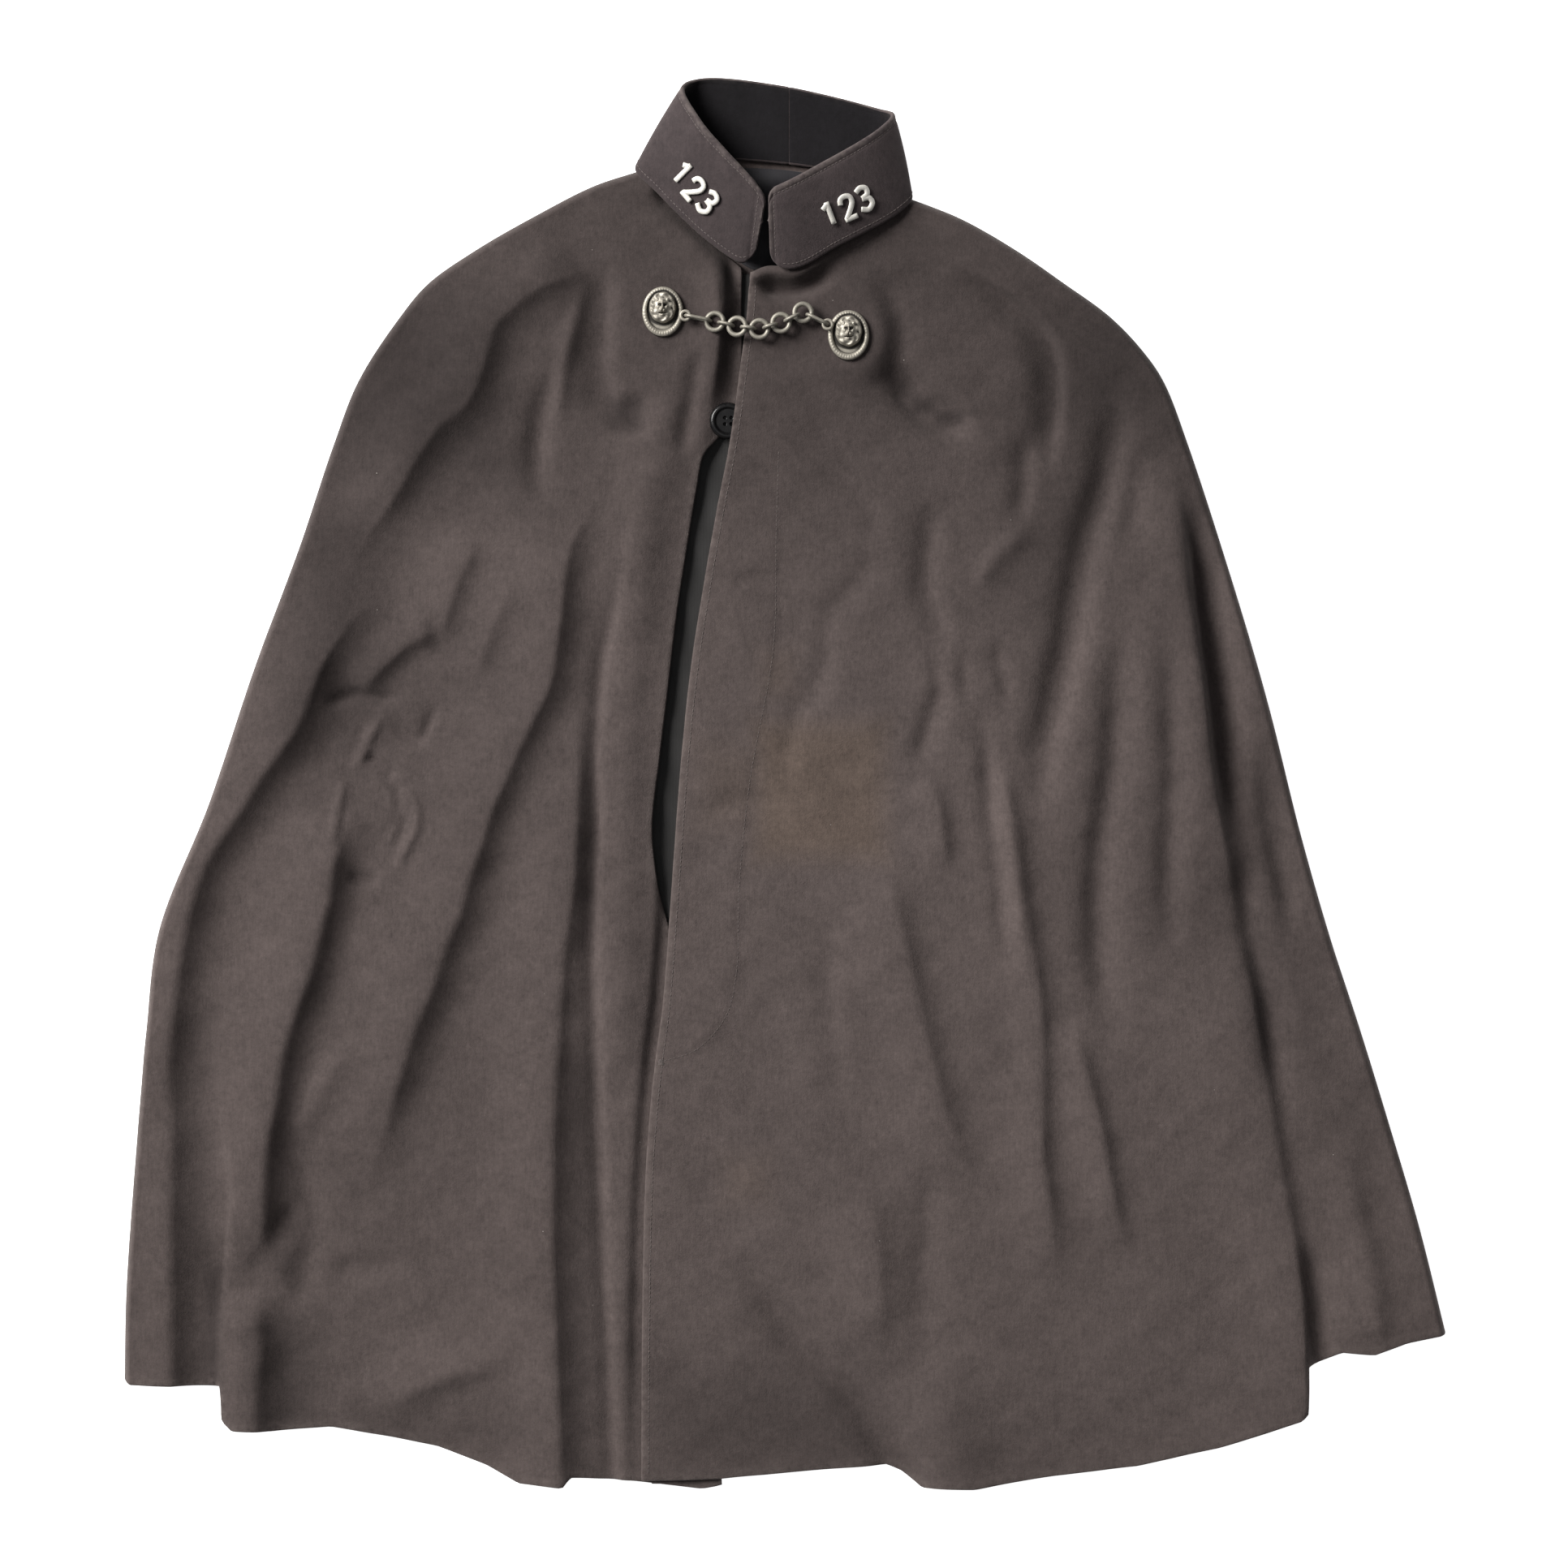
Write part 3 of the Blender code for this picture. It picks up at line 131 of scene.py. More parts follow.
# Folds run down from the collar. Height is over the cloth around, below nought for a
# trough; left and right are how far the fold spreads to the viewer's left and right.
# A lap is a fold that lies over: it rises slowly to its crest and drops off right of it.
Fold = namedtuple("Fold", "name height left right fade_in fade_out path")
Lap = namedtuple("Lap", Fold._fields)
RIGHT_FOLDS = [
    Lap("side lap", 12.0, 46, 38, 0.2, 0.15, [
        (-262.6, 130.4), (-278, 122.7), (-292.9, 110), (-303.9, 93.5), (-313.2, 77), (-320.4, 57.8),
        (-328.6, 38.5), (-339.6, 22), (-353.4, 2.8), (-367.1, -19.3), (-380.9, -38.5), (-391.9, -57.8),
        (-399, -79.8), (-404.5, -101.8), (-408.4, -129.3), (-412.2, -156.8), (-415, -184.3),
        (-415.5, -206.3), (-411, -239.3)]),
    Fold("fold hollow", -3.0, 19, 4, 0.35, 0.0, [
        (-388, -200.8), (-380.9, -239.3), (-376.5, -266.8), (-377.6, -294.3), (-379.8, -321.8),
        (-382, -349.3), (-383.6, -376.8), (-384.7, -420)]),
    Lap("low side lap", 9.0, 44, 34, 0.25, 0.0, [
        (-414, -190), (-413, -235), (-414, -290), (-414, -340), (-413, -430)]),
    Lap("elbow lap", 12.0, 40, 30, 0.12, 0.2, [
        (-290.1, -19.3), (-302.2, -46.8), (-306.6, -74.3), (-313.2, -101.8), (-320.4, -129.3),
        (-330.8, -156.8), (-338.5, -184.3), (-342.4, -211.8), (-347.9, -239.3), (-350.6, -266.8),
        (-351.2, -294.3), (-352, -320), (-356, -345)]),
    Fold("slack ridge", 2.4, 7, 9, 0.35, 0.2, [
        (-284.6, -167.8), (-306.6, -195.3), (-323.1, -228.3), (-333, -239.3)]),
    Lap("long lap", 10.5, 40, 36, 0.2, 0.18, [
        (-105.9, 207.4), (-122.4, 198), (-133.4, 181.5), (-144.4, 162.3), (-148.8, 140.3),
        (-151.5, 112.8), (-155.4, 85.3), (-158.1, 68.8), (-168, 46.8), (-179, 24.8), (-188.4, 2.8),
        (-198.3, -19.3), (-204.9, -41.3), (-213.1, -63.3), (-218.6, -85.3), (-228, -107.3),
        (-237.9, -137.5), (-246.1, -156.8), (-254.4, -178.8), (-262.6, -206.3), (-270.9, -236.5),
        (-279.1, -261.3), (-284.6, -283.3)]),
    Lap("pleat edge", 8.6, 34, 30, 0.2, 0.0, [
        (-146, 75), (-139.8, 40), (-140, 2.8), (-143.8, -74.3), (-148.8, -107), (-152.6, -156.8),
        (-155.9, -211.8), (-157, -266.8), (-157, -321.8), (-154.8, -376.8), (-151, -490)]),
    Fold("pleat line", -3.6, 7, 4, 0.2, 0.0, [
        (-100.4, 200.8), (-108.6, 167.8), (-112.5, 140.3), (-116.9, 107.3), (-121.3, 90.8),
        (-126.2, 46.8), (-127.9, 2.8), (-126.8, -19.3), (-129, -74.3), (-129.5, -118.3),
        (-127.9, -156.8), (-126.8, -211.8), (-124.6, -266.8), (-122.4, -321.8), (-118.5, -404.3),
        (-115.8, -490)]),
    Fold("edge ridge", 4.6, 20, 17, 0.15, 0.15, [
        (-97, 283), (-87, 255.8), (-86, 228.3), (-92.1, 195), (-97, 162), (-101, 128), (-104, 91),
        (-107.5, 35.8), (-110, -101.8), (-109, -215)]),
    Lap("shoulder lap", 7.6, 32, 32, 0.12, 0.25, [
        (-131, 349), (-138.9, 344.9), (-169.1, 331.7), (-185.6, 319), (-195.5, 308), (-202.1, 288.8),
        (-207.6, 269.5), (-217.5, 253), (-232.4, 242), (-240.6, 231), (-251.6, 214.5), (-259.9, 198),
        (-270.9, 181.5), (-281.9, 167.8), (-290.1, 151.3), (-298.4, 137.5)]),
    Fold("panel trough", -6.8, 15, 6.5, 0.3, 0.3, [
        (-121, 360), (-122.4, 346.5), (-122.4, 310.8), (-124, 283.3), (-119.6, 255.8), (-111.4, 231)]),
    Fold("panel hollow", -4.3, 13, 12, 0.4, 0.3, [(-104, 268), (-102, 250), (-101, 228)]),
    Fold("chest trough", -5.1, 9, 7, 0.35, 0.35, [
        (-152.6, 283), (-162.5, 255.8), (-166.9, 228.3), (-166.4, 206.3), (-158.1, 184.3)]),
    Fold("chest streak", 3.0, 5, 6, 0.35, 0.35, [
        (-131.7, 341), (-140.5, 319), (-147.1, 294.3), (-151.5, 266.8), (-153.7, 233.8)]),
    Lap("upper lap", 4.6, 20, 22, 0.3, 0.3, [
        (-207, 172), (-214, 150), (-221.4, 134.8), (-229.6, 107.3), (-232.4, 88)]),
    Lap("faint lap", 3.4, 18, 26, 0.35, 0.35, [
        (-180.1, 145.8), (-191.1, 118.3), (-202.1, 90.8), (-208, 60)]),
    Lap("cross lap", 5.0, 17, 16, 0.2, 0.25, [
        (-232, 101), (-251.6, 95.2), (-265.4, 84.2), (-278, 71.5), (-288, 58)]),
    Fold("button trough", -3.5, 7, 5, 0.3, 0.3, [(-57, 300), (-61, 270), (-66, 240), (-71, 215)]),
    Fold("neck gap", -12.0, 7, 6, 0.15, 0.25, [
        (-88, 405), (-69, 387), (-51.5, 369.5), (-38, 356), (-33, 344), (-33, 322)]),
    Lap("opening lap", 4.0, 26, 22, 0.2, 0.3, [
        (-50, 350), (-46, 330), (-45, 300), (-47, 272), (-54, 245)]),
    Lap("hem lap", 5.4, 24, 32, 0.3, 0.35, [
        (-174.6, -398.8), (-196.6, -394.4), (-218.6, -397.7), (-240.6, -405.4), (-262.6, -416.4),
        (-284.6, -427.4)]),
    # Crumples at the elbow
    Fold("crumple 1", -3.4, 3.5, 4.5, 0.25, 0.3, [
        (-312.1, 53.4), (-290.1, 58.9), (-273.6, 56.7), (-254.4, 56.7)]),
    Fold("crumple 2", -2.6, 3.5, 4, 0.2, 0.25, [
        (-268.1, 42.4), (-257.1, 33), (-246.1, 29.2), (-239.5, 41.3), (-235.1, 56.7)]),
    Fold("crumple 3", -4.2, 3, 4, 0.2, 0.25, [
        (-284, 20), (-281.9, 18.2), (-270.9, 10.5), (-261.5, 1.7)]),
    Fold("crumple 4", 1.5, 3, 3, 0.3, 0.3, [(-269.2, 47.9), (-277.5, 35.8), (-281.9, 22)]),
    Fold("crumple 5", -1.4, 4, 4, 0.3, 0.3, [(-281.9, 42.4), (-287.4, 27.5), (-293.4, 9.4)]),
    Fold("crumple 6", 2.4, 4, 3, 0.25, 0.25, [
        (-295.6, 5.5), (-299.5, -8.3), (-302.2, -24.8), (-306, -46.8)]),
    Fold("crumple 7", 2.3, 3.5, 3, 0.2, 0.25, [
        (-263.7, -7.2), (-254.4, -6.1), (-247.8, -16.5), (-249.4, -33), (-257.1, -47.9), (-262.6, -62.2)]),
    Fold("crumple 8", 1.8, 4, 3.5, 0.25, 0.3, [(-264.8, 0), (-263.7, -19.3), (-267, -44)]),
    Fold("crumple 9", -2.0, 4, 4, 0.35, 0.35, [(-254.4, -13.8), (-258.2, -30.3), (-264, -48)]),
    Fold("crumple 10", 1.3, 4, 4, 0.25, 0.25, [(-268, 38), (-280.6, 31.7), (-287, 18), (-292, 6)]),
    Fold("crumple 11", -2.4, 3.5, 3, 0.25, 0.3, [
        (-263.8, 3.2), (-262, -14), (-265.5, -28.8), (-273.9, -42.2)]),
    Fold("crumple 12", 1.6, 4, 4, 0.3, 0.3, [(-299, -20.4), (-288, -26), (-277.3, -28.8)]),
    Fold("crumple 13", -2.4, 3.5, 4, 0.3, 0.3, [(-296, -62), (-284, -65.5), (-271, -64.5)]),
    # The pocket of slack cloth under the elbow
    Fold("pocket cross", -1.6, 5, 8, 0.2, 0.25, [
        (-327.5, -282.2), (-342.4, -299.8), (-355, -321.8), (-362.7, -339.4)]),
    Fold("pocket rim", -1.8, 7, 9, 0.2, 0.25, [
        (-342.4, -242), (-329.7, -255.8), (-320.4, -277.8), (-317.6, -299.8), (-320.4, -321.8),
        (-327.5, -343.8), (-338.5, -353.7), (-353.4, -349.3)]),
    Fold("pocket bulge", 1.2, 6, 6, 0.3, 0.3, [(-327.5, -302.5), (-336.9, -321.8), (-345.1, -341)]),
    Lap("pocket lap", 10.0, 28, 34, 0.25, 0.0, [
        (-358, -338), (-356, -362), (-354, -380), (-356.1, -404.3), (-357, -450)]),
    Fold("low crease", -2.7, 8, 8, 0.3, 0.4, [
        (-310, -318), (-295.6, -327.3), (-273.6, -326), (-246, -327)]),
]
LEFT_FOLDS = [
    Lap("side fold", 11.5, 44, 24, 0.25, 0.3, [
        (255, 225), (264.2, 189.8), (270, 156.8), (274, 123.8), (277.5, 90.8), (281.5, 57.8),
        (285, 24.8), (289.5, -8.3), (295, -41.3), (301.1, -74.3), (307.7, -107.3)]),
    Lap("low side fold", 4.6, 34, 15, 0.25, 0.0, [
        (301.1, -74.3), (307.7, -107.3), (314.9, -145.8), (321.5, -184.3), (327.5, -222.8),
        (333, -255.8), (339.1, -288.8), (344.6, -321.8), (348.4, -354.8), (349.5, -393.3), (349.5, -450)]),
    Fold("side gap", -11.5, 7, 12, 0.3, 0.3, [
        (264, 205), (269, 189.8), (277, 151.3), (282, 118.3), (286.5, 90.8), (291, 63.3), (294, 35.8),
        (296.5, 8.3), (299, -19.3), (303, -48)]),
    Fold("side shade", -5.7, 9, 12, 0.25, 0.35, [
        (306.6, -30.3), (309.4, -63.3), (314.9, -101.8), (324.8, -145.8), (328.6, -184.3), (336, -235)]),
    Fold("arm trough", -8.9, 13, 9, 0.3, 0.3, [
        (226, 290), (224, 250), (216.7, 200), (205.5, 164), (198.5, 128), (192, 88), (183, 52),
        (176, 18), (173, -42)]),
    Fold("shoulder trough", -8.6, 15, 3.6, 0.3, 0.25, [
        (112, 350), (125.1, 341), (149.9, 326.2), (171.9, 308), (181.8, 288.8), (183.4, 266.8),
        (182.3, 244.8), (179, 222.8), (174.6, 205)]),
    Fold("upper arm trough", -3.8, 9, 6, 0.35, 0.35, [(161.5, 240), (161.5, 206.3), (158.1, 172)]),
    Fold("breast trough", -3.8, 14, 14, 0.25, 0.2, [
        (73, 352), (71.8, 340), (70.1, 316.3), (71.8, 288.8), (79.5, 266.8), (94.9, 250.3),
        (111.4, 242), (131, 250)]),
    Fold("chest hollow", -8.5, 9, 13, 0.3, 0.25, [
        (74, 284), (82, 266), (96, 251), (112, 243.5), (129, 249)]),
    Lap("middle lap", 5.2, 26, 28, 0.25, 0.3, [
        (71, -38), (73, -75), (80, -105), (90, -150), (98, -185), (106, -215), (117, -245), (131, -282)]),
    Lap("bell crease", 3.4, 14, 15, 0.3, 0.35, [
        (90, 6), (98, -4), (103.1, -15), (106.5, -35.8), (108, -66)]),
    Lap("long crease", 4.6, 18, 18, 0.15, 0.25, [
        (147, 14), (154.5, -24), (159, -64), (166, -110), (171.7, -150), (173, -200), (173, -250),
        (180, -298), (182.5, -356)]),
    Fold("second crease", -3.2, 7, 6, 0.3, 0.3, [
        (129, 58), (136, 16), (139, -24), (145, -69), (150, -136)]),
    Fold("crease ridge", 1.8, 4, 4, 0.3, 0.3, [(146, 26), (151, -30), (157, -80), (164, -140)]),
    Lap("branch crease", 4.8, 15, 17, 0.2, 0.3, [
        (191, -160), (201, -189.8), (208.5, -217.3), (214, -239.3), (218.5, -266.8), (224, -294.3),
        (234, -325)]),
    Fold("outer trough", -6.5, 11, 11, 0.3, 0.3, [
        (232, 138), (227, 90), (224, 40), (222, 10), (216.7, -24), (212.5, -69), (214, -129),
        (225, -195)]),
    Fold("edge trough", -5.7, 10, 9, 0.35, 0.35, [
        (255, 130), (259, 70), (261.6, 10), (259.4, -69), (262, -140)]),
    Fold("upper trough", -3.5, 9, 9, 0.4, 0.4, [(240, 230), (236, 190), (229, 150)]),
    Fold("bust trough", -4.2, 11, 8, 0.3, 0.35, [
        (100, 195), (97, 160), (95.4, 133), (103, 106), (107, 78)]),
    Fold("bust ridge", 3.2, 5, 9, 0.35, 0.35, [
        (169.1, 176), (149.9, 161.2), (136.1, 145.8), (130.6, 125)]),
    Fold("slant crease", -3.5, 7, 8, 0.35, 0.35, [(108, 66), (99, 44), (88, 8)]),
    Fold("rib 1", -1.8, 5, 6, 0.35, 0.35, [(100, 92), (103, 70), (104, 45)]),
    Fold("rib 2", -1.6, 5, 5, 0.35, 0.35, [(122, 95), (121, 72), (124, 48)]),
    Fold("rib 3", -2.0, 5, 5, 0.35, 0.35, [(142, 100), (146, 75), (154, 48)]),
    Fold("front trough", -1.8, 8, 9, 0.3, 0.2, [
        (56.8, 180), (57, 150), (45, 131), (34, 120), (27.7, 105), (27, 88.8), (21, 66.3), (7.4, 46.2),
        (1.9, 23.7), (0.5, -16)]),
    Fold("front cross crease", -1.5, 6, 6, 0.3, 0.3, [
        (-57, -22), (-37.5, -14.3), (-18, -10), (2, -15)]),
    Fold("front small crease", -1.2, 5, 5, 0.3, 0.3, [(-38, 132), (-20, 139), (-3, 138)]),
    Fold("front loop crease", -1.4, 7, 7, 0.35, 0.35, [(22, 200), (44, 197), (57, 183), (60, 156)]),
    Fold("hem trough", -7.6, 13, 14, 0.4, 0.0, [
        (-33, -310), (-12, -346), (10, -374), (34, -397), (56, -424), (70, -448), (80, -475)]),
    Fold("faint fall 1", -1.5, 12, 7, 0.35, 0.35, [(36, -75), (30, -130), (34, -190), (46, -250)]),
    Fold("faint fall 2", -1.6, 9, 9, 0.35, 0.35, [(95, -240), (96, -290), (93, -340), (90, -385)]),
    Fold("hem bulge", 4.0, 20, 26, 0.4, 0.0, [(92, -376.8), (105.9, -426.3), (116.9, -490)]),
    Lap("low lap", 2.8, 24, 24, 0.3, 0.3, [
        (56, -268), (60, -294.3), (63, -321.8), (64, -349.3), (63, -385)]),
    Fold("low trough", -1.4, 20, 15, 0.4, 0.4, [(96, -245), (95, -322), (92, -375), (90, -430)]),
    Lap("strip lap", 3.8, 18, 24, 0.3, 0.1, [(379, -235), (385, -283.3), (395, -327.3), (402, -380)]),
    Fold("strip trough", -5.7, 8, 8, 0.3, 0.35, [
        (322, 25), (328.6, -19.3), (334.1, -52.3), (339, -80), (338, -115)]),
    Fold("notch trough", -4.6, 7, 12, 0.35, 0.0, [
        (350, -300), (355.5, -325), (359, -349.3), (361, -395)]),
    Fold("neck roll", 5.0, 3.2, 3.4, 0.0, 0.3, [
        (-22, 339.5), (-12, 343), (0, 342.5), (10, 343), (20, 349), (31, 356.5), (52, 368), (76, 381)]),
    Fold("neck shade", -9.0, 5.0, 6.5, 0.2, 0.45, [
        (-20, 333.5), (-6, 332), (8, 331.5), (22, 338), (40, 352)]),
]
# The edge of the hidden buttonhole flap shows through the left front as a low step
FLAP = [
    (-4, 234), (-6, 170), (-8, 91), (-24, 0), (-31, -70), (-33, -129), (-40, -157), (-59, -179),
    (-84, -188),
]
FLAP_STEP = 0.8
FLAP_SOFT = 4.0

# Broad swells of the cloth: where it is highest, how far it spreads and how high
Swell = namedtuple("Swell", "name x y spread height")
RIGHT_SWELLS = [
    Swell("neck", -50, 345, 70, 4.5),
    Swell("hem lies lower", -200, -520, 120, -4.0),
]
LEFT_SWELLS = [
    Swell("neck", 0, 325, 65, 7.5),
    Swell("hem lies lower", 20, -520, 110, -5.0),
    Swell("side lies lower", 410, -250, 85, -6.0),
    Swell("arm lies lower", 345, 0, 55, -5.0),
    Swell("shoulder lies lower", 300, 190, 50, -4.0),
    Swell("over the button", -30, 245, 35, 4.0),
]
# Faint unevenness of the cloth
Ripple = namedtuple("Ripple", "length degrees shift height")
RIPPLES = [
    Ripple(61, 20, 0.3, 0.30),
    Ripple(43, 75, 1.7, 0.22),
    Ripple(29, 128, 0.9, 0.14),
    Ripple(83, 160, 2.6, 0.30),
    Ripple(19, 52, 4.0, 0.07),
]

# The collar, from the right front end round the back to the left front end
Station = namedtuple("Station", "name foot top")
COLLAR = [
    Station("right end", (-21.0, 348.5, 24.0), (-12.6, 391.8, 40.0)),
    Station("right lap", (-31.0, 350.5, 23.5), (-26.8, 407.6, 39.2)),
    Station("right front", (-55.5, 368.5, 22.0), (-40.0, 421.5, 38.0)),
    Station("right side", (-87.0, 400.0, 17.0), (-58.5, 444.5, 32.0)),
    Station("right turn", (-100.0, 415.0, 11.0), (-69.0, 466.5, 20.5)),
    Station("right back", (-90.5, 422.5, 5.5), (-59.0, 474.2, 9.5)),
    Station("middle back", (2.5, 419.5, 5.2), (2.5, 469.0, 7.0)),
    Station("left back", (73.0, 405.0, 5.5), (63.0, 454.0, 9.5)),
    Station("left turn", (84.5, 396.0, 12.0), (72.4, 448.5, 20.5)),
    Station("left side", (75.0, 384.0, 18.7), (61.5, 435.5, 32.0)),
    Station("left front", (33.5, 360.5, 25.0), (22.0, 411.0, 40.0)),
    Station("left lap", (9.0, 347.0, 26.5), (3.5, 401.0, 41.5)),
    Station("left end", (-10.0, 345.5, 27.0), (-11.2, 394.2, 42.0)),
]
COLLAR_BACK_SEAM = 6      # which station the back seam is at
COLLAR_TOP_CORNER = 6.0
COLLAR_FOOT_CORNER = 13.0
HALF_SEAM = 0.0003        # half the gap at the back seam, as a share of the collar
COLLAR_SWELL = 0.9        # the collar is a little rounded from foot to top
COLLAR_GROOVE = 0.45      # how far its edge stitching sinks in
COLLAR_STITCH_IN = 3.4    # edge stitching inside the collar's edges
NECK_SEAM_CLOTH = 1.6
NECK_SEAM_UP = 2.0        # how far the seam at the collar's foot reaches up inside it
NECK_SEAM_IN = 4.0        # how far it turns in
NECK_SEAM_SHARE = 0.28    # its lower edge, as a share of the foot's height
NECK_SEAM_LOWEST = 4.5
NECK_SEAM_ROWS = 8
COLLAR_PAINTED_SHADE = {"collar_right": 0.22, "collar_left": 0.0}   # painted shade: the right half, which faces the key light, is drawn darker

# Bosses, chain and button
BOSS_RIGHT = (-82.4, 317.4)
BOSS_LEFT = (42.6, 301.0)
RIGHT_SEAT = 15.0
LEFT_SEAT = 19.5
SEAT_REACH = 20.0
BOSS_WIDE = 28.0
BOSS_TALL = 34.0
EYE_RADIUS = 3.0
EYE_WIRE = 1.1
EYE_HEIGHT = 5.4
RING_RADIUS = 5.75
RING_WIRE = 1.6
LINK_RADIUS = 4.3
LINK_WIRE = 1.15
WIRE_SPACING = 3.0
RING_COUNT = 5
LINK_COUNT = 6
BUTTON_RADIUS = 12.5
BUTTON_THICK = 3.4
BUTTON_DISH = 0.62        # how thick it is inside the rim, as a share

# Bumps of the lion mask: middle and spread as shares of the mask's half width and half height,
# and height in millimetres. Each is drawn on both sides where x isn't nought.
Bump = namedtuple("Bump", "name x y wide tall height")
LION = [
    Bump("forehead", 0.0, 0.34, 0.20, 0.16, 0.9),
    Bump("brow", 0.17, 0.22, 0.13, 0.055, 0.9),
    Bump("eye hollow", 0.19, 0.11, 0.10, 0.065, -1.3),
    Bump("eye", 0.19, 0.11, 0.045, 0.036, 1.1),
    Bump("nose bridge", 0.0, 0.06, 0.060, 0.22, 1.0),
    Bump("nose", 0.0, -0.11, 0.10, 0.055, 1.2),
    Bump("cheek", 0.30, -0.02, 0.10, 0.12, 0.6),
    Bump("muzzle", 0.12, -0.25, 0.11, 0.10, 1.3),
    Bump("lip line", 0.0, -0.25, 0.028, 0.10, -0.9),
    Bump("mouth", 0.0, -0.385, 0.20, 0.040, -1.4),
    Bump("chin", 0.0, -0.50, 0.12, 0.070, 0.7),
    Bump("ear", 0.40, 0.44, 0.085, 0.085, 1.2),
    Bump("ear hollow", 0.40, 0.43, 0.040, 0.045, -1.0),
]
MASK_WIDE = 0.68   # the mask's share of the plate
MASK_TALL = 0.65
MASK_UP = 0.16     # it sits above the plate's middle
MANE_LOCKS = 9
RIM_BEADS = 44
DULL_RIM = 0.36     # how tarnished the plate's rim is
BOSS_GRID = (144, 64)   # points round and outwards
BUTTON_GRID = (96, 40)

# Plain numerals on the collar, each drawn as two strokes in a box one unit high
NUMERAL_HEIGHT = 19.0
NUMERAL_WIDTH = 3.6
NUMERAL_THICK = 1.8
NUMERAL_PITCH = 12.8
STROKES = {
    "one": ([(-0.24, 0.24), (0.02, 0.40)],
            [(0.02, 0.50), (0.02, -0.50)]),
    "two": ([(-0.27, 0.20), (-0.20, 0.42), (0.02, 0.50), (0.24, 0.40), (0.26, 0.16), (0.08, -0.12),
             (-0.20, -0.45)],
            [(-0.30, -0.49), (0.29, -0.49)]),
    "three": ([(-0.26, 0.38), (-0.02, 0.50), (0.22, 0.40), (0.20, 0.14), (-0.08, 0.04)],
              [(-0.09, 0.02), (0.22, -0.05), (0.28, -0.30), (0.04, -0.50), (-0.28, -0.38)]),
}
NUMERAL_ROWS = [("right", (-59.2, 399.0), -48.0), ("left", (40.6, 386.4), 22.0)]

# Places where the wool has faded to brown: middle, half width and half height, softness of edge, strength
Fade = namedtuple("Fade", "x y wide tall soft strength")
FADES = [
    Fade(23.5, -5.5, 43, 45, 14, 0.90),
    Fade(-34, -2, 22, 26, 20, 0.40),
    Fade(-5, 74, 9, 13, 14, 0.45),
    Fade(-26, -267, 13, 13, 16, 0.40),
]
# Painted shade: places where the wool is drawn darker to stand for shade, over the top and shoulders, on
# slopes that face the key light, in the darkest hollows of folds and in the opening; it is also drawn
# darker along the hem
PAINTED_SHADES = [
    Fade(0, 420, 500, 250, 190, 0.48),
    Fade(-250, 275, 85, 90, 80, 0.76),
    Fade(-109, 250, 15, 15, 14, 0.74),
    Fade(-305, 120, 50, 95, 60, 0.61),
    Fade(-230, 40, 110, 130, 80, 0.29),
    Fade(-300, -150, 150, 200, 80, 0.19),
    Fade(-440, -200, 12, 230, 26, 0.32),
    Fade(-120, 300, 30, 60, 45, 0.50),
    Fade(-40, 318, 6, 40, 16, 0.90),
    Fade(215, 285, 75, 75, 80, 0.74),
    Fade(190, 180, 60, 60, 60, 0.47),
    Fade(79, 267, 6, 8, 14, 0.92),
    Fade(93, 255, 8, 6, 14, 0.98),
    Fade(111, 247, 10, 5, 12, 0.95),
    Fade(127, 250, 4, 4, 11, 0.80),
    Fade(260, 40, 30, 140, 60, 0.36),
    Fade(0, 330, 70, 25, 40, 0.47),
    Fade(-15, -432, 75, 35, 50, 0.43),
    Fade(117, -455, 80, 15, 45, 0.32),
    Fade(-340, -400, 25, 45, 30, 0.62),
    Fade(-336, -310, 8, 30, 16, 0.50),
    Fade(-398, -300, 14, 150, 26, 0.47),
    Fade(-386, -385, 8, 60, 14, 0.80),
    Fade(-230, -436, 60, 12, 25, 0.36),
    Fade(330, -80, 22, 100, 35, 0.40),
    Fade(-139, -330, 8, 140, 14, 0.43),
]

# One stitch: rings along its length, as shares of its length and width
Ring = namedtuple("Ring", "along size rise")
STITCH_RINGS = [
    Ring(-0.5, 0.25, -0.10),
    Ring(-0.36, 0.85, 0.12),
    Ring(0.0, 1.0, 0.20),
    Ring(0.36, 0.85, 0.12),
    Ring(0.5, 0.25, -0.10),
]
STITCH_SIDES = 6
COLLAR_STITCH = (2.9, 2.3, 0.5)   # pitch, length and width
EDGE_STITCH = (3.1, 2.5, 0.5)
FLAP_STITCH = (3.0, 2.3, 0.42)
TACK_STITCH = (4.4, 4.2, 0.55)
EDGE_STITCH_IN = 3.8              # from the left front's edge
TACK_ROW = [(-85.8, -186.5), (-83.6, -186.6), (-81.2, -186.7)]
TACK_ROWS = 7
TACK_PITCH = 0.55

# How finely the cloth is drawn
FRONT_CURL = 10
RIGHT_GRID = (140, 305)   # points across and down
LEFT_GRID = (170, 255)
CREST_ROUND = 1.6         # how round the crest of a lap is
FOLD_PULL = 2.2           # how strongly steep cloth draws the columns together
COLLAR_ALONG = 130

# Colours: the dark and the light tone of each finish, and what marks it
Wool = namedtuple("Wool", "name dark light faded worn speck_share")
MELTON = Wool("melton_wool", (0.050, 0.0395, 0.0375), (0.105, 0.083, 0.0785), (1.19, 1.12, 0.98),
              (0.112, 0.092, 0.086), 0.10)
COLLAR_WOOL = Wool("collar_wool", (0.034, 0.027, 0.028), (0.069, 0.054, 0.055), (1.0, 1.0, 1.0),
                   (0.135, 0.113, 0.106), 0.06)
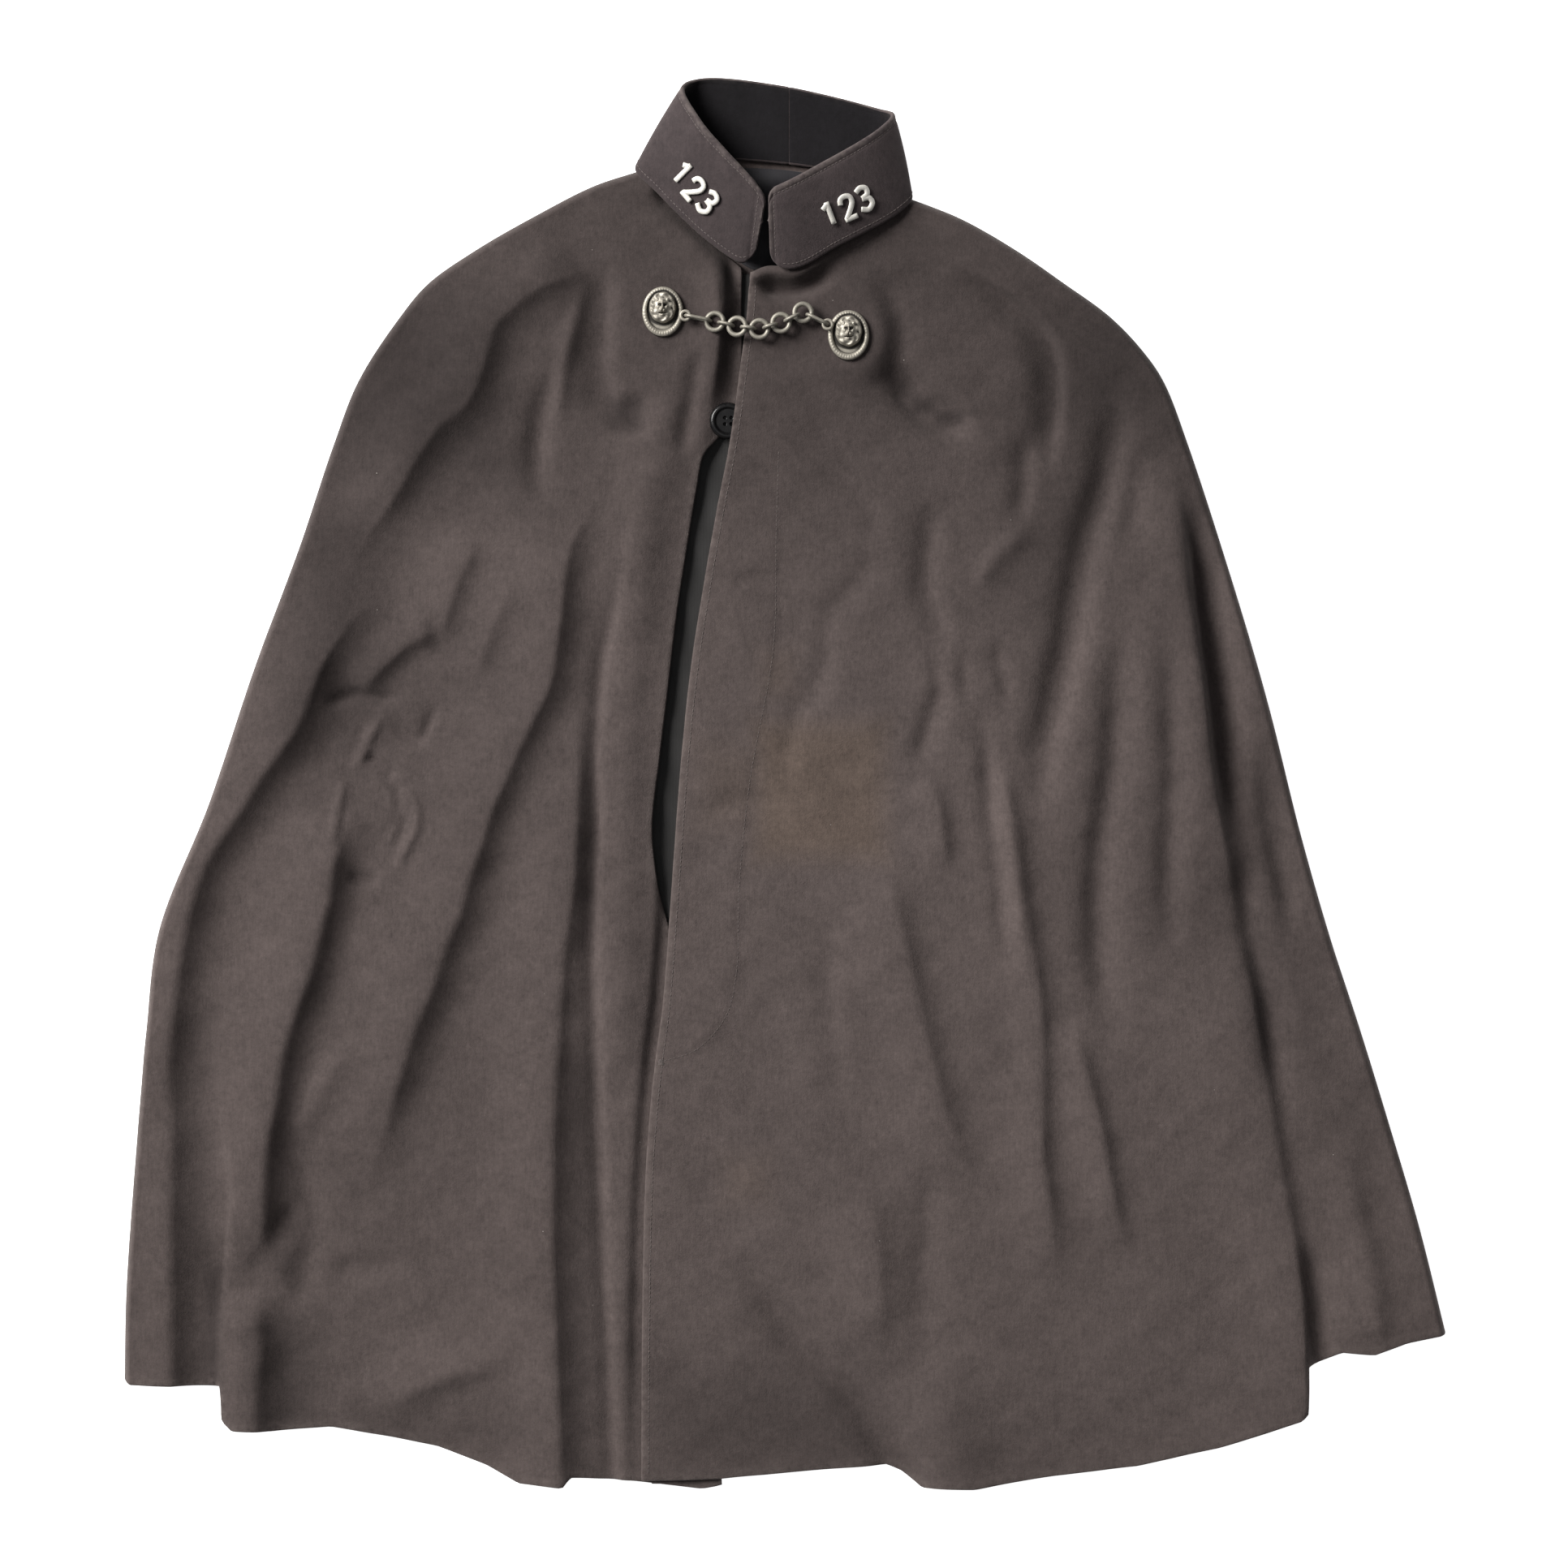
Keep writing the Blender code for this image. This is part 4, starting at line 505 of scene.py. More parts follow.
# The collar's inside: a darker facing cloth, drawn near black so that it also stands for the shade inside
# the collar
COLLAR_FACING_AND_SHADE = Wool("collar_facing", (0.0035, 0.003, 0.004), (0.010, 0.009, 0.011), (1.0, 1.0, 1.0),
                     (0.022, 0.019, 0.019), 0.02)
# The colour that painted shade multiplies the wool by
PAINTED_SHADE_TINT = (0.20, 0.195, 0.205)
GREY_LINT = (0.42, 0.39, 0.36)
PALE_LINT = (0.55, 0.52, 0.48)
Sateen = namedtuple("Sateen", "name dark light sheen")
NECK_SATEEN = Sateen("black_sateen", (0.005, 0.0045, 0.0065), (0.022, 0.020, 0.025), 0.12)
# The button stand's dark grey sateen, drawn darker still to stand for the shade inside the opening
STAND_SATEEN_AND_SHADE = Sateen("stand_sateen", (0.0105, 0.0098, 0.0095), (0.0215, 0.020, 0.0195), 0.08)
THREAD_TONES = ((0.060, 0.048, 0.045), (0.150, 0.124, 0.116))
HORN_TONES = ((0.003, 0.003, 0.0035), (0.010, 0.009, 0.009))
Metal = namedtuple("Metal", "name bright dark hollow_name metallic")
MASK_METAL = Metal("mask_metal", (0.42, 0.39, 0.33), (0.014, 0.012, 0.010), "hollow", 0.45)
CHAIN_METAL = Metal("chain_metal", (0.31, 0.29, 0.245), (0.08, 0.072, 0.062), "", 0.45)
NUMERAL_METAL = Metal("numeral_metal", (0.80, 0.78, 0.72), (0.58, 0.55, 0.50), "", 0.30)

# Stage, in metres and watts
CAMERA_HEIGHT = 2.5
CAMERA_LENS = 84.7
CAMERA_AT = (-0.0008, -0.0006)
FLOOR_DROP = 0.0004
FLOOR_HALF = 9.0
FLOOR_GLOW = 0.95
KEY_PLACE = (-3.64, 2.18, 3.0)
KEY_SIZE = (2.5, 2.5)
KEY_POWER = 575.0
TOP_PLACE = (0.1, -0.4, 3.0)
TOP_SIZE = (2.4, 2.4)
TOP_POWER = 9.0
SURROUNDINGS = 0.09


def smooth_curve(points, count):
    """Points at even spacing along a smooth curve through the ones given."""
    given = np.array(points, float)
    steps = np.linalg.norm(np.diff(given, axis=0), axis=1) ** 0.5
    knots = np.concatenate([[0.0], np.cumsum(steps)])
    slopes = np.gradient(given, knots, axis=0)
    fine = np.linspace(0.0, knots[-1], 40 * len(given))
    k = np.clip(np.searchsorted(knots, fine, side="right") - 1, 0, len(given) - 2)
    span = (knots[k + 1] - knots[k])[:, None]
    u = ((fine - knots[k]) / span[:, 0])[:, None]
    drawn = ((2 * u**3 - 3 * u**2 + 1) * given[k] + (u**3 - 2 * u**2 + u) * span * slopes[k]
             + (3 * u**2 - 2 * u**3) * given[k + 1] + (u**3 - u**2) * span * slopes[k + 1])
    return even_points(drawn, count)


def corner_curve(points, count):
    """Points at even spacing along straight runs through the ones given."""
    return even_points(np.array(points, float), count)


def run_along(points):
    """How far along a line each of its points is."""
    return np.concatenate([[0.0], np.cumsum(np.linalg.norm(np.diff(points, axis=0), axis=1))])


def even_points(drawn, count):
    """Points at even spacing along a line."""
    along = run_along(drawn)
    even = np.linspace(0.0, along[-1], count)
    return np.stack([np.interp(even, along, drawn[:, c]) for c in range(drawn.shape[1])], axis=1)


def point_on(curve, part):
    """The point a given part of the way along an evenly spaced curve."""
    place = np.clip(part, 0.0, 1.0) * (len(curve) - 1)
    marks = np.arange(len(curve))
    return np.stack([np.interp(place, marks, curve[:, c]) for c in range(curve.shape[1])], axis=-1)


def ease(x):
    """Rise smoothly from 0 to 1 as x goes from 0 to 1."""
    x = np.clip(x, 0.0, 1.0)
    return x * x * (3.0 - 2.0 * x)


def nearest_on(curve, places):
    """Distance, side and part of the way along of the nearest point of a curve."""
    found = [nearest_few(curve, part) for part in np.array_split(places, 1 + len(places) // 5000)]
    return tuple(np.concatenate(column) for column in zip(*found))


def nearest_few(curve, places):
    """The same for a few thousand places at once."""
    run = np.diff(curve, axis=0)
    reach = places[:, None, :] - curve[None, :-1, :]
    part = np.clip((reach * run).sum(-1) / np.maximum((run * run).sum(-1), 1e-12), 0.0, 1.0)
    offset = reach - part[..., None] * run
    apart = (offset**2).sum(-1)
    best = apart.argmin(axis=1)
    rows = np.arange(len(places))
    side = run[best, 0] * offset[rows, best, 1] - run[best, 1] * offset[rows, best, 0]
    return np.sqrt(apart[rows, best]), side, (best + part[rows, best]) / len(run)


def one_fold(fold, places):
    """The height that one fold gives to the places near it."""
    curve = smooth_curve(fold.path, 50)
    apart, side, along = nearest_on(curve, places)
    spread = np.where(side < 0.0, fold.left, fold.right)
    grown = ease(along / fold.fade_in) if fold.fade_in else 1.0
    gone = ease((1.0 - along) / fold.fade_out) if fold.fade_out else 1.0
    shape = np.exp(-((apart / spread) ** 2))
    if isinstance(fold, Lap):
        past = np.sqrt(apart**2 + CREST_ROUND**2) - CREST_ROUND
        shape = np.where(side < 0.0, shape, np.maximum(1.0 - past / spread, 0.0) ** 3)
    return fold.height * grown * gone * shape


def fold_height(folds, swells, places):
    """The height that the folds and swells give the cloth at each place."""
    total = np.zeros(len(places))
    for fold in folds:
        path = np.array(fold.path, float)
        reach = 3.6 * max(fold.left, fold.right) + 12.0
        near = ((places > path.min(0) - reach) & (places < path.max(0) + reach)).all(axis=1)
        if near.any():
            total[near] += one_fold(fold, places[near])
    for swell in swells:
        apart = np.hypot(places[:, 0] - swell.x, places[:, 1] - swell.y)
        total += swell.height * np.exp(-((apart / swell.spread) ** 2))
    for ripple in RIPPLES:
        way = math.radians(ripple.degrees)
        across = places[:, 0] * math.cos(way) + places[:, 1] * math.sin(way)
        bend = 6.0 * np.sin(places[:, 1] / 57.0 + ripple.shift)
        bend += 5.0 * np.sin(places[:, 0] / 71.0 - ripple.shift)
        total += ripple.height * np.sin(2.0 * math.pi * (across + bend) / ripple.length + ripple.shift)
    return total


def keep_above(height, floor):
    """Let the height settle softly on a floor instead of going below it."""
    soft = 1.5
    return floor + soft * np.logaddexp(0.0, (height - floor) / soft)


def settle(height, places, boss, level):
    """Flatten the cloth under a boss that is sewn on it."""
    apart = np.hypot(places[:, 0] - boss[0], places[:, 1] - boss[1])
    hold = 1.0 - ease((apart - SEAT_REACH) / SEAT_REACH)
    return height * (1.0 - hold) + level * hold


def curl(height, places, side_curve):
    """Turn the cloth down to the surface along its side and shoulder."""
    apart, _, _ = nearest_on(side_curve, places)
    inside = 1.0 - np.clip(apart / EDGE_ROUND, 0.0, 1.0)
    return height * np.sqrt(np.maximum(1.0 - inside**2, 0.0))


def right_height(places):
    """Height of the right front's outer face."""
    height = RIGHT_LOFT + fold_height(RIGHT_FOLDS, RIGHT_SWELLS, places)
    height = keep_above(height, LOWEST)
    height = settle(height, places, BOSS_RIGHT, RIGHT_SEAT)
    apart, side, _ = nearest_on(smooth_curve(LEFT_EDGE, 120), places)
    clear = np.where(side < 0.0, apart, -apart)
    rise = np.interp(places[:, 1], *zip(*UNDERLAP_RISE))
    lift = ease((clear - UNDERLAP_START) / rise)
    height = UNDERLAP_HEIGHT + (height - UNDERLAP_HEIGHT) * lift
    return curl(height, places, smooth_curve(RIGHT_SIDE, 200))


def left_height(places):
    """Height of the left front's outer face."""
    height = LEFT_LOFT + fold_height(LEFT_FOLDS, LEFT_SWELLS, places) + flap_step(places)
    height = keep_above(height, LOWEST)
    height = settle(height, places, BOSS_LEFT, LEFT_SEAT)
    return curl(height, places, smooth_curve(LEFT_SIDE, 200))


def flap_step(places):
    """The low step over the edge of the hidden flap."""
    apart, side, along = nearest_on(smooth_curve(FLAP, 90), places)
    outside = np.where(side < 0.0, -apart, apart)
    return FLAP_STEP * ease(along / 0.25) * (1.0 - ease(0.5 + 0.5 * outside / FLAP_SOFT))


def patch(near, far, top, foot, across, down):
    """Fill four edges with points: near and far run down, top and foot run across."""
    a = across[..., None]
    d = down[..., None]
    sides = (1 - a) * point_on(near, down) + a * point_on(far, down)
    ends = (1 - d) * point_on(top, across) + d * point_on(foot, across)
    corners = ((1 - a) * (1 - d) * near[0] + a * (1 - d) * far[0]
               + (1 - a) * d * near[-1] + a * d * far[-1])
    return sides + ends - corners


def front_plan(edge, side, neck, hem, height, grid):
    """Places in plan of a front's points, closer together at folds and where its side turns over."""
    sides = (smooth_curve(edge, 300), smooth_curve(side, 300),
             smooth_curve(neck, 160), corner_curve(hem, 500))
    down = np.linspace(0.0, 1.0, grid[1])
    width = np.linalg.norm(point_on(sides[1], down) - point_on(sides[0], down), axis=1)
    reach = (EDGE_ROUND / width)[:, None]
    main = fold_columns(sides, height, grid) * (1.0 - reach)
    turn = 1.0 - np.sin(np.linspace(0.0, math.pi / 2, FRONT_CURL + 1))[1:]
    across = np.concatenate([main, 1.0 - turn[None, :] * reach], axis=1)
    return patch(*sides, across, np.repeat(down[:, None], across.shape[1], axis=1))


def fold_columns(sides, height, grid):
    """Where each row's columns are, so that steep cloth gets more of them."""
    share = np.linspace(0.0, 1.0, 300)
    a, d = np.meshgrid(share, np.linspace(0.0, 1.0, 80))
    plan = patch(*sides, a, d)
    rise = FOLD_PULL * np.diff(height(plan.reshape(-1, 2)).reshape(a.shape), axis=1)
    steps = np.hypot(np.linalg.norm(np.diff(plan, axis=1), axis=2), rise)
    along = np.concatenate([np.zeros((len(steps), 1)), np.cumsum(steps, axis=1)], axis=1)
    wanted = np.linspace(0.0, 1.0, grid[0])
    rows = np.array([np.interp(wanted * line[-1], line, share) for line in along])
    padded = np.pad(rows, ((2, 2), (0, 0)), mode="edge")
    rows = sum(padded[k:k + len(rows)] for k in range(5)) / 5.0
    place = np.linspace(0.0, len(rows) - 1.0, grid[1])
    return np.stack([np.interp(place, np.arange(len(rows)), rows[:, c]) for c in range(grid[0])], axis=1)


def grid_normals(grid):
    """Unit normals of a grid of points."""
    normal = np.cross(np.gradient(grid, axis=1), np.gradient(grid, axis=0))
    return normal / np.maximum(np.linalg.norm(normal, axis=2, keepdims=True), 1e-12)


def quads(rows, columns, first, turned):
    """Faces of a grid of points."""
    k = first + (np.arange(rows - 1)[:, None] * columns + np.arange(columns - 1)[None, :]).ravel()
    faces = np.stack([k, k + 1, k + columns + 1, k + columns], axis=1)
    return faces[:, ::-1] if turned else faces


def shell(outer, inner, flat_far):
    """Points and faces of a sheet with rounded edges between two grids of the same size.

    The far column keeps a flat edge if flat_far is true, because it stands on the surface.
    """
    rows, columns = outer.shape[:2]
    count = rows * columns
    rim = [(0, c) for c in range(columns)]
    rim += [(r, columns - 1) for r in range(1, rows)]
    rim += [(rows - 1, c) for c in range(columns - 2, -1, -1)]
    rim += [(r, 0) for r in range(rows - 2, 0, -1)]
    r, c = np.array(rim).T
    inside_r, inside_c = np.clip(r, 1, rows - 2), np.clip(c, 1, columns - 2)
    middle = 0.5 * (outer + inner)
    half = 0.5 * (outer - inner)[r, c]
    out = middle[r, c] - middle[inside_r, inside_c]
    out -= half * ((out * half).sum(1) / np.maximum((half * half).sum(1), 1e-9))[:, None]
    out /= np.maximum(np.linalg.norm(out, axis=1, keepdims=True), 1e-9)
    size = np.linalg.norm(half, axis=1) * (0.0 if flat_far else 1.0) ** (c == columns - 1)
    loops = []
    for turn in (0.25, 0.5, 0.75):
        bend = math.pi * turn
        loops.append(middle[r, c] + math.cos(bend) * half + math.sin(bend) * size[:, None] * out)
    points = np.concatenate([outer.reshape(-1, 3), inner.reshape(-1, 3), *loops])
    ring = r * columns + c
    lines = [ring] + [2 * count + k * len(rim) + np.arange(len(rim)) for k in range(3)] + [count + ring]
    faces = [quads(rows, columns, 0, False), quads(rows, columns, count, True)]
    for upper, lower in zip(lines, lines[1:]):
        faces.append(np.stack([upper, lower, np.roll(lower, -1), np.roll(upper, -1)], axis=1))
    return points, np.concatenate(faces), (rows - 1) * (columns - 1)


def add_mesh(name, points, faces, materials, face_materials=None):
    """A smooth named mesh from points in millimetres."""
    mesh = bpy.data.meshes.new(name)
    mesh.from_pydata((np.asarray(points, float) * MM).tolist(), [], [list(map(int, f)) for f in faces])
    for item in materials:
        mesh.materials.append(item)
    mesh.polygons.foreach_set("use_smooth", [True] * len(mesh.polygons))
    if face_materials is not None:
        mesh.polygons.foreach_set("material_index", np.asarray(face_materials, np.int32))
    mesh.update()
    piece = bpy.data.objects.new(name, mesh)
    bpy.context.scene.collection.objects.link(piece)
    return piece


def add_sheet(name, upper, lower, material):
    """A sheet of one material between two grids of points."""
    points, faces, _ = shell(upper, lower, False)
    piece = add_mesh(name, points, faces, [material])
    turn_outwards(piece)
    return piece


def add_value(piece, name, values):
    """Store one number for each point of a mesh, for its material to read."""
    stored = piece.data.attributes.new(name, "FLOAT", "POINT")
    stored.data.foreach_set("value", np.asarray(values, np.float32))


def turn_outwards(piece):
    """Make the faces of a closed mesh look outwards."""
    shape = bmesh.new()
    shape.from_mesh(piece.data)
    bmesh.ops.recalc_face_normals(shape, faces=shape.faces)
    shape.to_mesh(piece.data)
    shape.free()


def hand_over(piece, slot, *nodes):
    """Let a piece ride on the part and hide the solids it stands for; the slot given for its finish is not
    used.
    """
    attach(piece, "root")
    if nodes:
        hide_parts(*nodes)
    return piece


def spots_at(spots, points):
    """How strongly a table of soft places marks each point."""
    total = np.zeros(len(points))
    for spot in spots:
        beyond_side = np.abs(points[:, 0] - spot.x) - spot.wide
        beyond_end = np.abs(points[:, 1] - spot.y) - spot.tall
        beyond = np.maximum(beyond_side, beyond_end)
        total = np.maximum(total, spot.strength * (1.0 - ease(0.5 + 0.5 * beyond / spot.soft)))
    return total


def make_front(node, edges, height, grid, material):
    """One front: a sheet of even thickness whose side edge stands on the surface."""
    plan = front_plan(*edges, height, grid)
    flat = plan.reshape(-1, 2)
    outer = np.concatenate([flat, height(flat)[:, None]], axis=1).reshape(*plan.shape[:2], 3)
    outer[:, -1, 2] = 0.0
    normal = grid_normals(outer)
    normal *= np.sign(normal[..., 2].mean())
    normal[:, -1, 2] = 0.0
    normal[:, -1] /= np.linalg.norm(normal[:, -1], axis=1, keepdims=True)
    inner = outer - CLOTH * normal
    inner[:, -1, 2] = 0.0
    points, faces, _ = shell(outer, inner, True)
    points[:, 2] = np.maximum(points[:, 2], 0.0)
    piece = add_mesh(f"cape_{node}", points, faces, [material])
    turn_outwards(piece)
    add_value(piece, "fade", spots_at(FADES, points))
    # Painted shade: how far the wool is drawn darker at each point, to stand for shade
    add_value(piece, "shade", spots_at(PAINTED_SHADES, points))
    add_value(piece, "wear", edge_wear(points, plan))
    return hand_over(piece, "wool", node)


def edge_wear(points, plan):
    """How near each point is to the worn front edge and hem."""
    edge = np.concatenate([plan[:, 0], plan[-1]])
    apart, _, _ = nearest_on(edge[::3], points[:, :2])
    return np.exp(-((apart / 3.5) ** 2))


def flat_grid(near, far, top, foot, across, down, bottom, thick):
    """Upper and lower points of a flat sheet between four edges in plan."""
    a, d = np.meshgrid(np.linspace(0, 1, across), np.linspace(0, 1, down))
    plan = patch(near, far, top, foot, a, d)
    low = np.concatenate([plan, np.full((*plan.shape[:2], 1), bottom)], axis=2)
    return low + np.array([0.0, 0.0, thick]), low


def inset(curve, distance, inwards):
    """Move a curve that runs down the cape sideways, towards the given sign of X."""
    run = np.gradient(curve, axis=0)
    run /= np.linalg.norm(run, axis=1, keepdims=True)
    return curve + distance * inwards * np.stack([-run[:, 1], run[:, 0]], axis=1)


def make_back(material):
    """The back lies flat on the surface inside the fronts' turned edges."""
    near = inset(smooth_curve(RIGHT_SIDE, 160), BACK_INSET, 1.0)
    far = inset(smooth_curve(LEFT_SIDE, 160), BACK_INSET, -1.0)
    neck = smooth_curve([near[0], *BACK_NECK[1:-1], far[0]], 60)
    foot = smooth_curve([near[-1], *BACK_HEM[1:-1], far[-1]], 120)
    upper, lower = flat_grid(near, far, neck, foot, 60, 90, 0.0, CLOTH)
    return hand_over(add_sheet("cape_back", upper, lower, material), "wool", "back")


def make_button_stand(material):
    """The strip inside the right front's edge that shows in the opening."""
    near = smooth_curve(STAND_OUTER, 120)
    far = smooth_curve(STAND_INNER, 120)
    ends = [corner_curve([near[k], far[k]], 10) for k in (0, -1)]
    upper, lower = flat_grid(near, far, *ends, 14, 160, CLOTH + SEAM, LINING_CLOTH)
    wave = 0.5 * np.sin(upper[..., 1] / 21.0) + 0.3 * np.sin(upper[..., 1] / 8.3 + upper[..., 0] / 5.0)
    upper[..., 2] += wave + 0.8
    lower[..., 2] += np.maximum(wave + 0.8, 0.0)
    return hand_over(add_sheet("cape_button_stand", upper, lower, material), "lining", "button_stand")


def make_neck_lining(material):
    """The lining that shows inside the neck."""
    top = smooth_curve(LINING_TOP, 60)
    foot = smooth_curve(LINING_FOOT, 60)
    sides = [corner_curve([top[k], foot[k]], 30) for k in (0, -1)]
    upper, lower = flat_grid(*sides, top, foot, 60, 34, CLOTH + SEAM, LINING_CLOTH)
    x, y = upper[..., 0], upper[..., 1]
    wave = 0.9 * np.sin((y - 0.35 * x) / 4.6 + 0.6) + 0.6 * np.sin((y + 0.6 * x) / 7.0)
    rise = np.maximum(wave + 1.2, 0.0)
    upper[..., 2] += rise
    lower[..., 2] += rise
    return hand_over(add_sheet("cape_neck_lining", upper, lower, material), "lining", "neck_lining")


def collar_curves(count):
    """Foot and top edges of the whole collar, with the part of the way of its back seam."""
    foot = np.array([s.foot for s in COLLAR])
    top = np.array([s.top for s in COLLAR])
    both = smooth_curve(np.concatenate([foot, top], axis=1), count)
    seam = int(np.argmin(np.abs(both[:, 0] - foot[COLLAR_BACK_SEAM][0]) + 10000.0 * (both[:, 2] > 12.0)))
    return both, seam / (count - 1)


def corner_trim(run, radius):
    """How much a rounded corner takes off at each distance from the end."""
    back = np.clip(1.0 - run / radius, 0.0, 1.0)
    return radius * (1.0 - np.sqrt(np.maximum(1.0 - back**2, 0.0)))


def collar_grid(front, seam):
    """Points of one half of the collar, foot to top, with its front end rounded off."""
    both, _ = collar_curves(1200)
    corner = 0.02 if seam > front else -0.02
    bend = 1.0 - np.cos(np.linspace(0.0, math.pi / 2, 12))[:-1]
    parts = np.concatenate([front + corner * bend, np.linspace(front + corner, seam, COLLAR_ALONG)])
    line = point_on(both, parts)
    run = run_along(line[:, :3])
    foot, top = line[:, :3], line[:, 3:]
    up = (top - foot) / np.linalg.norm(top - foot, axis=1, keepdims=True)
    low = foot + up * corner_trim(run, COLLAR_FOOT_CORNER)[:, None]
    high = top - up * corner_trim(run, COLLAR_TOP_CORNER)[:, None]
    share = np.concatenate([[0.0, 0.02, 0.045], np.linspace(0.075, 0.90, 20),
                            [0.918, 0.932, 0.944, 0.956, 0.970, 0.985, 1.0]])
    grid = low[:, None, :] + (high - low)[:, None, :] * share[None, :, None]
    normal = grid_normals(grid)
    normal *= np.sign(normal[:8, :, 2].mean())
    return grid, normal, share, run


def make_collar_half(node, front, seam, materials):
    """One half of the collar from its front end to the back seam."""
    grid, normal, share, run = collar_grid(front, seam)
    swell = COLLAR_SWELL * np.sin(math.pi * share)[None, :]
    tall = np.linalg.norm(grid[:, -1] - grid[:, 0], axis=1)
    below_top = tall[:, None] * (1.0 - share)[None, :]
    groove = -COLLAR_GROOVE * np.exp(-((below_top - COLLAR_STITCH_IN) ** 2))
    groove = groove - COLLAR_GROOVE * np.exp(-((run[:, None] - COLLAR_STITCH_IN) ** 2))
    wave = 0.35 * np.sin(run / 9.0)[:, None] * np.sin(2.6 * share)[None, :]
    shift = swell + wave
    outer = grid + (0.5 * COLLAR_CLOTH + shift + groove)[..., None] * normal
    inner = grid + (-0.5 * COLLAR_CLOTH + shift - 0.5 * groove)[..., None] * normal
    points, faces, sheet_faces = shell(outer, inner, False)
    kinds = np.zeros(len(faces), np.int32)
    kinds[sheet_faces:2 * sheet_faces] = 1
    piece = add_mesh(f"cape_{node}", points, faces, materials, kinds)
    turn_outwards(piece)
    add_value(piece, "wear", collar_wear(points, outer))
    # Painted shade on the collar half that faces the key light
    add_value(piece, "shade", np.full(len(points), COLLAR_PAINTED_SHADE[node]))
    hand_over(piece, "wool", node)
    return piece, outer, normal


def make_neck_seam(name, front, seam, material):
    """The turned-in cloth that joins a collar half's foot to the neck edge, front and side."""
    grid, _, _, run = collar_grid(front, seam)
    raised = (run > COLLAR_FOOT_CORNER) & (grid[:, 0, 2] > NECK_SEAM_LOWEST + 1.5)
    foot = grid[raised, 0]
    up = grid[raised, -1] - foot
    up /= np.linalg.norm(up, axis=1, keepdims=True)
    inward = up * (1.0, 1.0, 0.0)
    inward /= np.linalg.norm(inward, axis=1, keepdims=True)
    low = foot + NECK_SEAM_IN * inward
    low[:, 2] = np.maximum(NECK_SEAM_SHARE * foot[:, 2], NECK_SEAM_LOWEST)
    share = np.linspace(0.0, 1.0, NECK_SEAM_ROWS)[None, :, None]
    sheet = (foot + NECK_SEAM_UP * up)[:, None] * (1.0 - share) + low[:, None] * share
    half = 0.5 * NECK_SEAM_CLOTH * grid_normals(sheet)
    return hand_over(add_sheet(name, sheet + half, sheet - half, material), "wool")


def collar_wear(points, outer):
    """How near each point is to the collar's top edge and front end."""
    edge = np.concatenate([outer[0][::-1], outer[:, -1]])[:, :2]
    apart, _, _ = nearest_on(edge, points[:, :2])
    return np.exp(-((apart / 2.2) ** 2))


def bar_faces(rows, sides, closed):
    """Faces of a bar: rows of points round it, joined up at its ends or capped."""
    faces = []
    for r in range(rows if closed else rows - 1):
        after = (r + 1) % rows * sides
        for k in range(sides):
            near = (k + 1) % sides
            faces.append((r * sides + k, r * sides + near, after + near, after + k))
    if not closed:
        faces.append(tuple(range(sides)))
        faces.append(tuple(reversed(range((rows - 1) * sides, rows * sides))))
    return faces


def tube(path, wide, thick, sides, closed, flat_up):
    """Points and faces of a bar that follows a path; flat_up is the way its thickness faces."""
    path = np.array(path, float)
    if closed:
        run = np.roll(path, -1, axis=0) - np.roll(path, 1, axis=0)
    else:
        run = np.gradient(path, axis=0)
    run /= np.linalg.norm(run, axis=1, keepdims=True)
    up = np.array(flat_up, float) - (run @ np.array(flat_up, float))[:, None] * run
    up /= np.linalg.norm(up, axis=1, keepdims=True)
    out = np.cross(run, up)
    turn = 2.0 * math.pi * (np.arange(sides) + 0.5) / sides
    points = (path[:, None] + 0.5 * wide * np.cos(turn)[None, :, None] * out[:, None]
              + 0.5 * thick * np.sin(turn)[None, :, None] * up[:, None]).reshape(-1, 3)
    return points, bar_faces(len(path), sides, closed)


def wire_loop(radius, straight, wire, count, sides):
    """A closed loop of round wire that lies flat."""
    return tube(ring_path(radius, straight, count), 2 * wire, 2 * wire, sides, True, (0, 0, 1))


def ring_path(radius, straight, count):
    """A loop in X and Y: two half circles joined by straight runs along X."""
    turn = 2.0 * math.pi * (np.arange(count) + 0.5) / count
    shift = np.where(np.cos(turn) > 0.0, straight, -straight)
    return np.stack([radius * np.cos(turn) + shift, radius * np.sin(turn), np.zeros(count)], axis=1)


class Pile:
    """Points and faces of many small forms that end up in one mesh."""

    def __init__(self):
        self.points = []
        self.faces = []
        self.count = 0

    def add(self, points, faces):
        self.faces += [tuple(int(k) + self.count for k in face) for face in faces]
        self.points.append(np.asarray(points, float))
        self.count += len(points)

    def mesh(self, name, material):
        piece = add_mesh(name, np.concatenate(self.points), self.faces, [material])
        turn_outwards(piece)
        return piece


def middle_of(node):
    """The middle of a solid's box in millimetres."""
    low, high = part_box(node)
    return 0.5 * (np.array(low) + np.array(high)) / MM


def boss_foot(centre, seat):
    """Where a boss sits on the cloth."""
    return np.array([centre[0], centre[1], seat + SEAM])


def eye_of(foot, towards):
    """Where a boss's eye is, on the side that faces the chain."""
    way = np.array([towards[0] - foot[0], towards[1] - foot[1], 0.0])
    way /= np.linalg.norm(way)
    return foot + way * (0.5 * BOSS_WIDE + 1.6) + np.array([0.0, 0.0, EYE_HEIGHT])


def turned_points(points, x, up):
    """Points of a small form turned so that its own X and Z point along the ways given."""
    x = x / np.linalg.norm(x)
    y = np.cross(up, x)
    y /= np.linalg.norm(y)
    return np.asarray(points) @ np.array([x, y, np.cross(x, y)])


